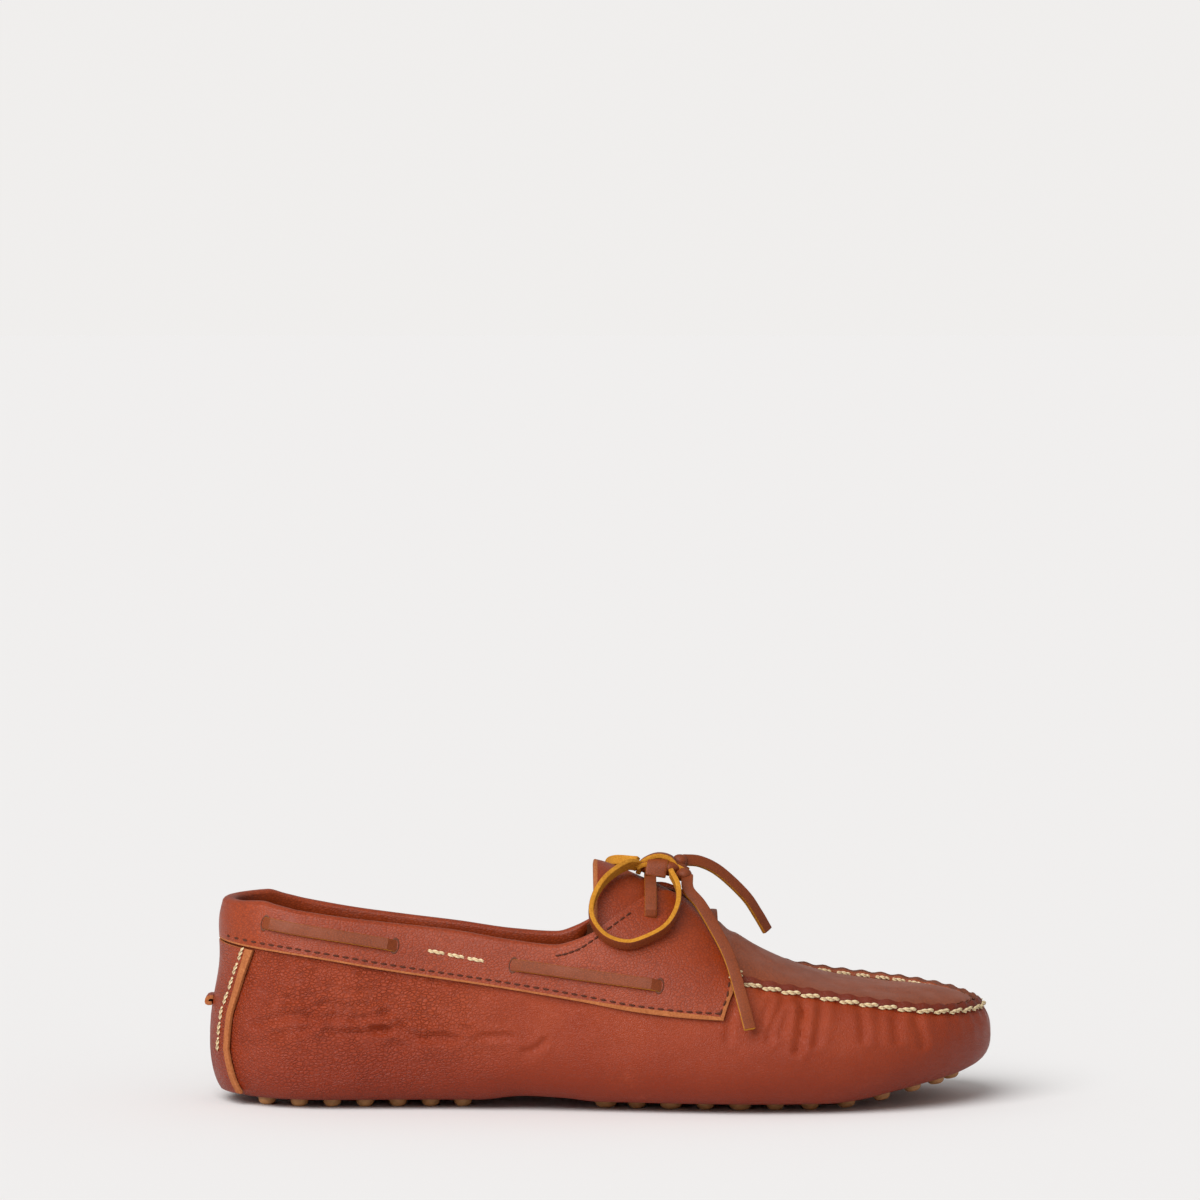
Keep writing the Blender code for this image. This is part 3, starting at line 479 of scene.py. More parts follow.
# %% Grain leather
def leather(name, deep, mid, light, cell_mm, grain, rough, pebbled_rear=False, low_painted_shade=None):
    """Grained leather. grain is the bump of its pebbles; pebbled_rear keeps it strong in the heel quarter only;
    low_painted_shade is painted shade, a darker, redder colour blended in low on the wall.
    """
    material, add, shader, links = finish_of(name)
    place = add("TexCoord").outputs["Object"]
    warp = add("TexNoise", None, Vector=place, Scale=260.0, Detail=2.0)
    shift = add("VectorMath", {"operation": "SCALE"}, i0=warp.outputs["Color"], Scale=0.0016)
    moved_place = add("VectorMath", {"operation": "ADD"}, i0=place, i1=shift.outputs[0]).outputs[0]
    turned = add("Mapping", None, Vector=moved_place, Rotation=(0.0, 0.45, 0.0), Scale=(0.75, 1.0, 1.25)).outputs[0]
    cells = add("TexVoronoi", {"feature": "DISTANCE_TO_EDGE"}, Vector=turned, Scale=1000.0 / cell_mm)
    pebble = ramp(add, cells.outputs["Distance"], 0.0, 0.22)
    small = add("TexVoronoi", {"feature": "DISTANCE_TO_EDGE"}, Vector=moved_place, Scale=2600.0 / cell_mm)
    small_pebble = ramp(add, small.outputs["Distance"], 0.0, 0.3)
    pores = add("TexNoise", None, Vector=place, Scale=3800.0, Detail=3.0).outputs["Fac"]
    patches = add("TexNoise", None, Vector=place, Scale=38.0, Detail=4.0, Roughness=0.6).outputs["Fac"]
    cloud = add("TexNoise", None, Vector=place, Scale=150.0, Detail=3.0).outputs["Fac"]
    xyz = add("SeparateXYZ", None, Vector=place)
    strong = ramp(add, cloud, 0.35, 0.65, 0.55, 1.0)
    if pebbled_rear:
        rear = ramp(add, xyz.outputs["X"], -0.02, -0.055, 0.22, 1.0)
        strong = times(add, strong, rear)
    height = times(add, times(add, pebble, strong), times(add, small_pebble, 0.28), "ADD")
    height = times(add, height, times(add, pores, 0.25), "ADD")
    bump = add("Bump", None, Height=height, Strength=grain, Distance=0.00035)
    links.new(bump.outputs[0], shader.inputs["Normal"])
    share = ramp(add, patches, 0.32, 0.68)
    dye = blend_colours(add, share, mid, light)
    valley = times(add, times(add, pebble, -1.0, "ADD"), times(add, strong, -0.6))
    dye = blend_colours(add, valley, dye, deep)
    if low_painted_shade:
        # painted shade: from 34 mm down to 8 mm above the ground, the colour is blended up to three quarters of the
        # way towards a darker, redder one
        low = ramp(add, xyz.outputs["Z"], 0.034, 0.008, 0.0, 0.75)
        dye = blend_colours(add, low, dye, low_painted_shade)
        # the turned-up edge of the toe seam, worn dark: the top rows of the sheet's own map, toe end only
        row = add("SeparateXYZ", None, Vector=add("UVMap").outputs[0]).outputs["Y"]
        crest = times(add, ramp(add, row, 0.885, 0.93), ramp(add, xyz.outputs["X"], 0.038, 0.046))
        dye = blend_colours(add, times(add, crest, 0.75), dye, deep)
    scuff = ramp(add, add("TexNoise", None, Vector=place, Scale=70.0, Detail=8.0, Roughness=0.75).outputs["Fac"], 0.6, 0.72, 0.0, 0.25)
    dye = blend_colours(add, scuff, dye, tuple(min(1.0, 1.5 * c + 0.01) for c in light))
    links.new(dye, shader.inputs["Base Color"])
    links.new(ramp(add, cloud, 0.3, 0.7, rough - 0.06, rough + 0.08), shader.inputs["Roughness"])
    shader.inputs["Specular IOR Level"].default_value = 0.3
    return material


def suede(name, dark, light, fibre_scale=1500.0):
    """The flesh side or a cut edge: dull, fibrous and uneven."""
    material, add, shader, links = finish_of(name)
    place = add("TexCoord").outputs["Object"]
    fibres = add("TexNoise", None, Vector=place, Scale=fibre_scale, Detail=5.0, Roughness=0.7).outputs["Fac"]
    patches = add("TexNoise", None, Vector=place, Scale=220.0, Detail=3.0).outputs["Fac"]
    share = times(add, ramp(add, fibres, 0.3, 0.7), ramp(add, patches, 0.3, 0.7, 0.55, 1.0))
    links.new(blend_colours(add, share, dark, light), shader.inputs["Base Color"])
    bump = add("Bump", None, Height=fibres, Strength=0.5, Distance=0.0003)
    links.new(bump.outputs[0], shader.inputs["Normal"])
    links.new(ramp(add, patches, 0.3, 0.7, 0.82, 0.95), shader.inputs["Roughness"])
    shader.inputs["Specular IOR Level"].default_value = 0.15
    return material


def rubber(name, dark, light):
    """Crepe-like gum rubber with worn, slightly glossy tips."""
    material, add, shader, links = finish_of(name)
    place = add("TexCoord").outputs["Object"]
    grit = add("TexNoise", None, Vector=place, Scale=900.0, Detail=4.0).outputs["Fac"]
    height = add("SeparateXYZ", None, Vector=place).outputs["Z"]
    worn = ramp(add, height, 0.0, 0.0035, 1.0, 0.0)
    share = times(add, ramp(add, grit, 0.3, 0.7, 0.3, 0.8), times(add, worn, 0.25), "ADD")
    links.new(blend_colours(add, share, dark, light), shader.inputs["Base Color"])
    links.new(ramp(add, worn, 0.0, 1.0, 0.62, 0.42), shader.inputs["Roughness"])
    bump = add("Bump", None, Height=grit, Strength=0.25, Distance=0.0002)
    links.new(bump.outputs[0], shader.inputs["Normal"])
    return material


def thread(name, dark, light):
    """Waxed thread: fine fibres and a little dirt."""
    material, add, shader, links = finish_of(name)
    place = add("TexCoord").outputs["Object"]
    fibres = add("TexNoise", None, Vector=place, Scale=2500.0, Detail=3.0).outputs["Fac"]
    links.new(blend_colours(add, ramp(add, fibres, 0.3, 0.7), dark, light), shader.inputs["Base Color"])
    links.new(ramp(add, fibres, 0.3, 0.7, 0.6, 0.8), shader.inputs["Roughness"])
    bump = add("Bump", None, Height=fibres, Strength=0.4, Distance=0.0002)
    links.new(bump.outputs[0], shader.inputs["Normal"])
    shader.inputs["Specular IOR Level"].default_value = 0.2
    return material


def paper(name, low, high):
    """The studio's paper floor."""
    material, add, shader, links = finish_of(name)
    place = add("TexCoord").outputs["Object"]
    tooth = add("TexNoise", None, Vector=place, Scale=700.0, Detail=2.0).outputs["Fac"]
    links.new(blend_colours(add, tooth, low, high), shader.inputs["Base Color"])
    shader.inputs["Roughness"].default_value = 0.95
    shader.inputs["Specular IOR Level"].default_value = 0.0
    return material

# %% The shoe's finishes
wrap_grain = leather(
    "pebbled grain",
    deep=(0.11, 0.010, 0.001),
    mid=(0.245, 0.026, 0.002),
    light=(0.32, 0.046, 0.009),
    cell_mm=1.15,
    grain=0.8,
    rough=0.42,
    pebbled_rear=True,
    # painted shade: the wall's colour darkens and reddens towards its foot
    low_painted_shade=(0.20, 0.016, 0.0005),
)
band_grain = leather(
    "band grain", (0.10, 0.011, 0.001), (0.235, 0.027, 0.002), (0.30, 0.044, 0.009), 1.0, 0.3, 0.42
)
apron_grain = leather(
    "apron grain", (0.09, 0.015, 0.003), (0.235, 0.044, 0.008), (0.3, 0.064, 0.018), 0.9, 0.2, 0.40
)
lining = leather("lining leather", (0.05, 0.012, 0.005), (0.12, 0.03, 0.012), (0.16, 0.045, 0.018), 0.8, 0.15, 0.6)
sock = leather("sock leather", (0.2, 0.075, 0.03), (0.33, 0.15, 0.07), (0.40, 0.19, 0.09), 0.8, 0.15, 0.6)
lace_grain = leather(
    "lace grain", (0.07, 0.012, 0.002), (0.185, 0.033, 0.004), (0.24, 0.048, 0.01), 0.6, 0.2, 0.5
)
raw_edge = suede("raw edge", (0.27, 0.075, 0.022), (0.50, 0.18, 0.065))
lace_flesh = suede("lace flesh", (0.36, 0.13, 0.008), (0.66, 0.31, 0.035))
gum = rubber("gum rubber", (0.30, 0.12, 0.035), (0.52, 0.25, 0.09))
cream_thread = thread("cream thread", (0.52, 0.38, 0.2), (0.8, 0.66, 0.43))
brown_thread = thread("brown thread", (0.05, 0.011, 0.005), (0.11, 0.028, 0.013))
pale_paper = paper("pale paper", (0.872, 0.862, 0.862), (0.882, 0.872, 0.872))
print("finishes:", len(bpy.data.materials))

# %% [markdown]
# ## Helpers for modelling by hand
# Most parts of a shoe are sheets of leather. A sheet starts here as a flat grid, the way leather starts as a
# flat hide. Its points are then laid on the last, and a Solidify modifier gives it its thickness inwards.
# Solidify can also give the flesh side and the cut edge materials of their own.

# %% From the shoe's own millimetres to the frame, and small helpers
def to_frame(points):
    return (np.asarray(points, float) - (ORIGIN_X, ORIGIN_Y, 0.0)) * MM


def alone(piece):
    """Makes this piece the only selected one and the active one."""
    bpy.ops.object.select_all(action="DESELECT")
    piece.select_set(True)
    bpy.context.view_layer.objects.active = piece


def apply_all(piece):
    alone(piece)
    for modifier in [m.name for m in piece.modifiers]:
        bpy.ops.object.modifier_apply(modifier=modifier)


def soften(piece, degrees=40):
    """Smooth shading, with a crisp line only where the surface turns by more than this."""
    alone(piece)
    bpy.ops.object.shade_smooth_by_angle(angle=math.radians(degrees))


def lay_sheet(name, places, finishes):
    """A flat grid laid on a table of places: columns, rows, then x, y and z in millimetres. Its finishes are
    those of the grain side, the flesh side and the cut edge."""
    columns, rows = places.shape[:2]
    bpy.ops.object.select_all(action="DESELECT")
    bpy.ops.mesh.primitive_grid_add(x_subdivisions=columns - 1, y_subdivisions=rows - 1, size=1.0)
    sheet = bpy.context.object
    sheet.name = sheet.data.name = name
    laid = to_frame(places).transpose(1, 0, 2).reshape(-1, 3)
    sheet.data.vertices.foreach_set("co", laid.ravel())
    sheet.data.update()
    for finish in finishes:
        sheet.data.materials.append(finish)
    return sheet


def bare_edges(sheet, columns, rows=0, ends=(0, 1)):
    """The cut edge shows on the face too: this many columns at the sheet's ends, and rows at its foot."""
    wide = round(1 / sheet.data.uv_layers[0].data[1].uv[0])
    for k, face in enumerate(sheet.data.polygons):
        row, column = divmod(k, wide)
        if row < rows or (0 in ends and column < columns) or (1 in ends and column >= wide - columns):
            face.material_index = 2


def close_seams(sheet, gap=0.02):
    """Merges points that lie on each other and turns all faces outwards."""
    alone(sheet)
    bpy.ops.object.mode_set(mode="EDIT")
    bpy.ops.mesh.select_all(action="SELECT")
    bpy.ops.mesh.remove_doubles(threshold=gap * MM)
    bpy.ops.mesh.normals_make_consistent(inside=False)
    bpy.ops.object.mode_set(mode="OBJECT")


def thicken(sheet, wall, eased=0.25, segments=2):
    """Solidify inwards, flesh and cut edge in the second and third material, then round the cut edges."""
    solid = sheet.modifiers.new("wall", "SOLIDIFY")
    solid.thickness = wall * MM
    solid.offset = -1.0
    solid.material_offset = 1
    solid.material_offset_rim = 2
    bevel = sheet.modifiers.new("eased edge", "BEVEL")
    bevel.width = eased * MM
    bevel.segments = segments
    bevel.limit_method = "ANGLE"
    bevel.angle_limit = math.radians(60)
    apply_all(sheet)


def dress(piece, slot, *materials):
    """Rides the piece on the shoe and gives it its own finish, if one is given. slot, the record's finish that it
    shows, is not used.
    """
    for material in materials:
        piece.data.materials.append(material)
    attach(piece, "root")


def smooth_path(points, count):
    """A smooth curve through the points, given again as this many evenly spaced ones."""
    points = np.asarray(points, float)
    padded = np.vstack([2 * points[0] - points[1], points, 2 * points[-1] - points[-2]])
    fine = []
    for k in range(len(points) - 1):
        a, b, c, d = padded[k : k + 4]
        for f in np.arange(0, 1, 1 / 24):
            bend = (2 * a - 5 * b + 4 * c - d) * f**2 + (3 * b - a - 3 * c + d) * f**3
            fine.append(0.5 * (2 * b + (c - a) * f + bend))
    fine = np.array(fine + [points[-1]])
    run = np.concatenate([[0], np.cumsum(np.linalg.norm(np.diff(fine, axis=0), axis=1))])
    even = np.linspace(0, run[-1], count)
    return np.stack([np.interp(even, run, fine[:, axis]) for axis in range(3)], axis=1)

# %% [markdown]
# ## Laces
# The lace is a flat strip cut from leather: brown grain on one face, yellow flesh on the other and along both
# cut edges. It is a grid of a few rows that is laid along a smooth path, crowned a little across, and thickened.

# %% A strip of lace
LACE_ROWS = 7


def lace_strip(name, centres, wides, width=LACE_WIDTH, thick=LACE_THICKNESS):
    """A strip along the centres; wides gives the direction of its width, and its grain lies on ahead x wide."""
    centres = np.asarray(centres, float)
    ahead = np.gradient(centres, axis=0)
    ahead /= np.linalg.norm(ahead, axis=1)[:, None]
    wides = np.asarray(wides, float)
    wides = wides - ahead * (wides * ahead).sum(axis=1)[:, None]
    wides /= np.linalg.norm(wides, axis=1)[:, None]
    grain = np.cross(ahead, wides)
    places = np.empty((len(centres), LACE_ROWS, 3))
    for row, f in enumerate(np.linspace(-1, 1, LACE_ROWS)):
        crown = thick / 2 - 0.12 * f**2
        places[:, row] = centres + wides * (f * width / 2) + grain * crown
    strip = lay_sheet(name, places, (lace_grain, lace_flesh, lace_flesh))
    thicken(strip, thick, eased=0.3)
    return strip

# %% [markdown]
# ## The bow
# The bow is two loops, two ends and a knot. Each loop and each end is a free cord of leather, given by
# the direction of its width and the points of its route out of the knot. The points are the ones that the
# solids follow.

# %% Routes of the bow
FreeLace = namedtuple("FreeLace", "node wide points far_end")
FREE_LACES = [
    FreeLace(
        "lace_outer_loop",
        (0.0, -0.72, 0.69),
        [
            (11.8, -5.2, 75.2),
            (8.0, -10.5, 75.6),
            (1.6, -20.0, 72.1),
            (-2.2, -26.4, 66.4),
            (-2.5, -31.6, 60.7),
            (1.6, -35.4, 55.6),
            (7.8, -36.6, 53.5),
            (13.2, -35.9, 54.5),
            (20.4, -32.9, 58.0),
            (24.3, -25.5, 63.2),
            (24.9, -16.6, 68.8),
            (22.6, -9.2, 73.2),
        ],
        "object",
    ),
    FreeLace(
        "lace_inner_loop",
        (0.0, 0.75, 0.66),
        [
            (11.8, 0.8, 75.6),
            (4.5, 8.7, 75.1),
            (2.2, 17.0, 71.8),
            (3.0, 24.5, 64.2),
            (7.0, 29.6, 55.2),
            (13.0, 31.2, 52.0),
            (19.5, 29.4, 55.4),
            (23.5, 23.2, 62.4),
            (24.5, 15.2, 68.6),
            (22.6, 6.4, 73.6),
        ],
        "object",
    ),
    FreeLace(
        "lace_outer_end",
        (0.9, 0.3, 0.25),
        [
            (27.8, -7.0, 71.9),
            (28.0, -14.0, 68.2),
            (31.8, -17.6, 63.9),
            (36.3, -25.2, 57.0),
            (40.8, -33.3, 48.6),
            (44.4, -42.0, 36.9),
            (46.8, -46.4, 28.0),
        ],
        "bare",
    ),
    FreeLace(
        "lace_inner_end",
        (0.35, 0.6, 0.7),
        [
            (26.4, 0.6, 76.2),
            (32.0, 3.4, 75.4),
            (38.4, 5.8, 71.9),
            (46.4, 8.0, 64.2),
            (50.6, 9.2, 58.0),
            (53.8, 10.0, 52.4),
        ],
        "bare",
    ),
]

# %% The bow's strips
def turned_wides(wide, count):
    return np.tile(np.array(wide, float), (count, 1))


bow = []
for free in FREE_LACES:
    route = smooth_path(free.points, 61)
    strip = lace_strip(free.node + "_leather", route, turned_wides(free.wide, len(route)))
    bow.append((free, route, strip))
    length = np.linalg.norm(np.diff(route, axis=0), axis=1).sum()
    print(free.node, "is", round(length, 1), "mm long")

# %% The knot: three turns of the same strip
KNOT_TURNS = [
    ([(11.0, -4.2, 74.0), (14.0, -3.4, 75.4), (19.0, -2.6, 75.8), (24.0, -2.4, 75.2), (28.0, -3.0, 73.2)], 5.6),
    ([(17.6, -7.4, 71.8), (18.2, -6.2, 75.4), (19.0, -2.0, 77.3), (19.8, 2.6, 75.6), (20.4, 4.2, 72.0)], 6.6),
    ([(12.2, -2.2, 72.4), (13.4, -2.8, 76.0), (18.0, -3.2, 78.2), (22.6, -3.2, 77.2), (25.4, -3.0, 73.4)], 4.4),
]
turns = []
for points, width in KNOT_TURNS:
    route = smooth_path(points, 28)
    flat = (0.1, 1.0, 0.0) if abs(points[0][0] - points[-1][0]) > 6 else (-1.0, 0.0, 0.0)
    turns.append(lace_strip("lace_knot_leather", route, turned_wides(flat, len(route)), width=width))
# the heart of the knot, under its turns: a ball pressed oval and pinched where the turns pull it in
bpy.ops.object.select_all(action="DESELECT")
bpy.ops.mesh.primitive_uv_sphere_add(segments=24, ring_count=14, radius=MM)
heart = bpy.context.object
ball = np.array([v.co for v in heart.data.vertices]) / MM
pinch = 1 - 0.12 * np.cos(2.6 * math.pi * ball[:, 0])[:, None] * (0, 1, 1)
heart.data.vertices.foreach_set("co", to_frame(ball * (8.0, 4.9, 2.7) * pinch + (19.6, -2.2, 74.2)).ravel())
heart.data.materials.append(lace_grain)
# where an end comes out, the turns close round it
hearts = [heart]
for end in FREE_LACES[2:]:
    bpy.ops.mesh.primitive_uv_sphere_add(segments=16, ring_count=10, radius=MM)
    cuff = bpy.context.object
    ball = np.array([v.co for v in cuff.data.vertices]) / MM
    out_here = np.array(end.points[0]) * 0.86 + np.array((19.6, -2.2, 74.2)) * 0.14
    cuff.data.vertices.foreach_set("co", to_frame(ball * (2.6, 2.8, 2.2) + out_here).ravel())
    cuff.data.materials.append(lace_grain)
    hearts.append(cuff)
alone(turns[0])
for turn in turns[1:] + hearts:
    turn.select_set(True)
bpy.ops.object.join()
knot = bpy.context.object
soften(knot)
dress(knot, "lace_leather")
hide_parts("lace_knot")

# %% The bow's strips take the place of its solids
for free, route, strip in bow:
    dress(strip, "lace_leather")
    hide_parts(free.node)
    path = to_frame(route)
    length = np.linalg.norm(np.diff(path, axis=0), axis=1).sum()

# %% [markdown]
# ## Creases
# The side leather creased where the shoe bends and where the last was pulled out. A crease is a soft trough
# with a low ridge on both sides, along a line of x and z points. The puckers below the toe seam come from
# gathering the wrap's long edge onto the apron's shorter one. All of them stand in one table, so that a row
# can be moved or made deeper by itself.

# %% Where the creases run
Crease = namedtuple("Crease", "deep wide points")
CREASES = [
    Crease(0.55, 1.1, [(-98.9, 35.1), (-95.9, 35.2), (-93.6, 35.9), (-91.1, 36.3), (-89.5, 36.9)]),
    Crease(0.55, 1.1, [(-92.4, 34.3), (-89.1, 34.1), (-85.9, 34.1), (-82.7, 33.7), (-80.1, 32.9),
        (-77.5, 32.9), (-73.4, 33.4)]),
    Crease(0.7, 1.3, [(-109.4, 26.3), (-106.1, 27.3), (-102.8, 28.8), (-99.5, 30.3), (-95.6, 30.1),
        (-91.7, 30.5), (-88.2, 32.8)]),
    Crease(0.6, 1.2, [(-91.7, 28.9), (-89.1, 29.1), (-86.5, 29.9), (-80.8, 30.0), (-76.9, 29.7),
        (-73.0, 30.0), (-69.2, 30.3), (-66.6, 31.3)]),
    Crease(0.5, 1.1, [(-103.4, 24.3), (-99.5, 24.3), (-95.6, 25.0), (-92.4, 25.7), (-89.8, 27.3)]),
    Crease(0.6, 1.1, [(-85.9, 25.8), (-82.4, 24.5), (-78.5, 25.2), (-75.0, 25.0), (-70.5, 25.5),
        (-66.6, 25.5)]),
    Crease(0.4, 1.0, [(-80.1, 38.3), (-76.9, 38.1), (-74.0, 38.6)]),
    Crease(0.9, 1.4, [(-70.7, 26.3), (-67.0, 26.0), (-63.3, 26.4), (-60.7, 24.9), (-58.1, 23.4),
        (-55.1, 23.4), (-52.2, 24.0), (-45.5, 23.5)]),
    Crease(0.5, 1.0, [(-68.5, 31.9), (-66.7, 29.7), (-64.1, 28.2), (-61.5, 27.5)]),
    Crease(0.5, 1.0, [(-61.1, 33.4), (-58.5, 31.2), (-55.9, 29.0), (-53.3, 27.5)]),
    Crease(0.5, 1.0, [(-50.7, 30.1), (-48.5, 27.6), (-45.5, 26.7), (-42.5, 26.7), (-39.9, 26.2)]),
    Crease(0.5, 1.0, [(-65.2, 22.3), (-61.5, 21.2), (-56.6, 20.4)]),
    Crease(0.6, 1.1, [(-38.4, 23.9), (-34.4, 24.0), (-30.3, 24.4), (-27.7, 24.1)]),
    Crease(0.6, 1.1, [(-24.0, 19.3), (-20.6, 20.1), (-18.0, 22.0), (-17.3, 23.1)]),
    Crease(0.4, 1.0, [(-52.9, 41.5), (-50.0, 40.4), (-47.0, 40.4)]),
]
PUCKERS = [
    Crease(0.5, 1.2, [(42.5, 34.8), (40.5, 29.4), (39.9, 23.8)]),
    Crease(0.45, 1.1, [(53.8, 35.9), (52.2, 32.7), (50.8, 29.5)]),
    Crease(0.5, 1.1, [(58.1, 36.5), (55.3, 31.5), (53.2, 26.1), (52.8, 24.0)]),
    Crease(0.45, 1.1, [(59.1, 33.0), (58.4, 31.0), (56.5, 26.1)]),
    Crease(0.8, 1.4, [(64.2, 34.5), (63.6, 30.5), (63.1, 26.8), (61.8, 20.9)]),
    Crease(0.5, 1.4, [(69.7, 33.4), (68.7, 28.0), (67.7, 23.4)]),
    Crease(0.5, 1.3, [(82.4, 31.5), (82.7, 28.4), (82.6, 24.0)]),
    Crease(0.5, 1.3, [(92.2, 31.0), (92.9, 27.2), (93.2, 23.0)]),
    Crease(0.55, 1.3, [(99.3, 29.2), (101.0, 24.6), (101.8, 21.1)]),
]


def creases_at(x, z, creases):
    """Millimetres in or out at each x and z: a soft trough along each crease, with a low ridge on both sides."""
    out = np.zeros_like(x)
    for crease in creases:
        points = np.array(crease.points, float)
        nearest = np.full_like(x, 1e9)
        for a, b in zip(points[:-1], points[1:]):
            along = b - a
            f = np.clip(((x - a[0]) * along[0] + (z - a[1]) * along[1]) / (along @ along), 0, 1)
            nearest = np.minimum(nearest, np.hypot(x - a[0] - f * along[0], z - a[1] - f * along[1]))
        trough = np.exp(-((nearest / crease.wide) ** 2))
        ridge = np.exp(-(((nearest - 2.0 * crease.wide) / crease.wide) ** 2))
        out += crease.deep * (0.45 * ridge - trough)
    return out


def swell_at(x, z, seed):
    """Slow swells all over, as soft leather has."""
    draw = random.Random(seed)
    out = np.zeros_like(x)
    for _ in range(10):
        turn, wave = draw.uniform(0, math.tau), draw.uniform(9, 30)
        phase = draw.uniform(0, math.tau)
        out += 0.05 * np.sin(math.tau * (x * math.cos(turn) + z * math.sin(turn)) / wave + phase)
    return out


def moved(creases, seed):
    """The same kind of creases elsewhere, for the side that the photograph doesn't show."""
    draw = random.Random(seed)
    out = []
    for crease in creases:
        dx, dz, lift = draw.uniform(-9, 9), draw.uniform(-4, 4), draw.uniform(-0.25, 0.25)
        centre = crease.points[len(crease.points) // 2][0]
        points = [(x + dx, z + dz + lift * (x - centre)) for x, z in crease.points]
        out.append(Crease(crease.deep * draw.uniform(0.6, 1.0), crease.wide, points))
    return out


INNER_CREASES = moved(CREASES, 5)
INNER_PUCKERS = moved(PUCKERS, 8)
print(len(CREASES) + len(PUCKERS), "creases placed by hand on the outer side")

# %% [markdown]
# ## The toe seam's rhythm
# Stitches along the toe seam are about 6.3 mm apart. The seam is sewn by hand, and each stitch pulls the
# leather in, so the edge is scalloped in the same rhythm. The distance along the seam is measured once here.
# The wrap, the apron and the thread all take it from here, so scallops and stitches stay together.

# %% Distance along the toe seam
SEAM_START_X = 45.0
STITCH_PITCH = 6.3


def bend_point(rib, off=0.0):
    return on_last(rib, h_of_z(rib, top_z(rib) - SEAM_LIP), off)


seam_ts = np.linspace(t_at_x(SEAM_START_X, False), t_at_x(SEAM_START_X, True), 500)
seam_points = np.array([bend_point(rib_at(t)) for t in seam_ts])
seam_run = np.concatenate([[0], np.cumsum(np.linalg.norm(np.diff(seam_points, axis=0), axis=1))])
stitches = round(seam_run[-1] / STITCH_PITCH)
pitch = seam_run[-1] / stitches
print("toe seam", round(seam_run[-1], 1), "mm long,", stitches, "stitches", round(pitch, 2), "mm apart")


def scallop(t):
    """1 at the middle of a stitch and -1 where the thread goes through, 0 away from the toe seam."""
    if not seam_ts[0] - 6 < t < seam_ts[-1] + 6:
        return 0.0
    run = np.interp(t, seam_ts, seam_run)
    if t < seam_ts[0]:
        run = t - seam_ts[0]
    if t > seam_ts[-1]:
        run = seam_run[-1] + t - seam_ts[-1]
    return -math.cos(math.tau * run / pitch)

# %% [markdown]
# ## The moccasin wrap
# One piece of leather is the bottom, both sides and the heel. A moccasin is made from below: the leather is
# wrapped up round the last instead of being pulled down over it, so it has no separate sole. Here the sides
# are a ring of columns laid on the last's ribs and the bottom is a second sheet inside that ring. The two
# share their edge, so they can be thickened as one skin.

# %% The wrap's ring of wall points
WALL_STEPS, LIP_STEPS, CORNER_STEPS = 40, 6, 8
HEEL_TURN_STEPS, TOE_TURN_STEPS = 30, 40
side_xs = np.linspace(-96, 92, 189)


def dense_ts(inner):
    """Places along one side from the heel's back to the toe's tip, close together."""
    first, last = t_at_x(side_xs[0], inner), t_at_x(side_xs[-1], inner)
    heel = RING if inner else 0.0
    turn = [heel + (first - heel) * k / HEEL_TURN_STEPS for k in range(HEEL_TURN_STEPS)]
    toe = [last + (TOE_T - last) * k / TOE_TURN_STEPS for k in range(1, TOE_TURN_STEPS + 1)]
    return turn + [t_at_x(x, inner) for x in side_xs] + toe


outer_ts, inner_ts = dense_ts(False), dense_ts(True)
ring_ts = outer_ts + inner_ts[-2:0:-1]


def lip_point(rib, t, f, off=0.0):
    """The wrap between its bend, at f = 0, and its rim, at f = 1."""
    flat = on_last(rib, h_of_z(rib, top_z(rib) - SEAM_LIP * (1 - f)), off)
    share = lip_share(rib)
    if share == 0.0:
        return flat
    out = np.array([rib.out_x, rib.out_y, 0.0])
    wave = scallop(t)
    bulge = (0.55 + 0.2 * wave) * math.sin(math.pi * min(f, 1.0))
    turned = bend_point(rib) + (off + bulge - LIP_LEAN * f) * out
    turned[2] = top_z(rib) - SEAM_LIP * (1 - f) + 0.3 * wave * f
    return (1 - share) * flat + share * turned


def wrap_places(t):
    rib = rib_at(t)
    bend = h_of_z(rib, top_z(rib) - SEAM_LIP)
    hs = np.concatenate([np.linspace(-1, 0, CORNER_STEPS, endpoint=False), np.linspace(0, bend, WALL_STEPS + 1)])
    base = np.array([on_last(rib, h) for h in hs])
    normal = np.array([on_last(rib, h, 1.0) for h in hs]) - base
    x, z = base[:, 0], base[:, 2]
    creases = INNER_CREASES if rib.inner else CREASES
    puckers = INNER_PUCKERS if rib.inner else PUCKERS
    under_patch = 1 - ease(x[0], -119, -113)
    # pinched towards each stitch hole just under the toe seam
    below = np.clip(z[-1] - z, 0, None)
    pinch = lip_share(rib) * 0.28 * np.exp(-below / 4.0) * scallop(t)
    off = creases_at(x, z, creases) + creases_at(x, z, puckers) + swell_at(x, z, 3 + rib.inner)
    off *= (1 - under_patch) * np.clip((below + 0.0) / 3.0, 0, 1) * np.clip((hs + 1) / 0.7, 0, 1)
    wall = base + normal * (off + pinch)[:, None]
    lip = np.array([lip_point(rib, t, f) for f in np.arange(1, LIP_STEPS + 1) / LIP_STEPS])
    return np.vstack([wall, lip])


ring = np.array([wrap_places(t) for t in ring_ts])
print("wrap's ring:", ring.shape[0], "columns of", ring.shape[1], "points")

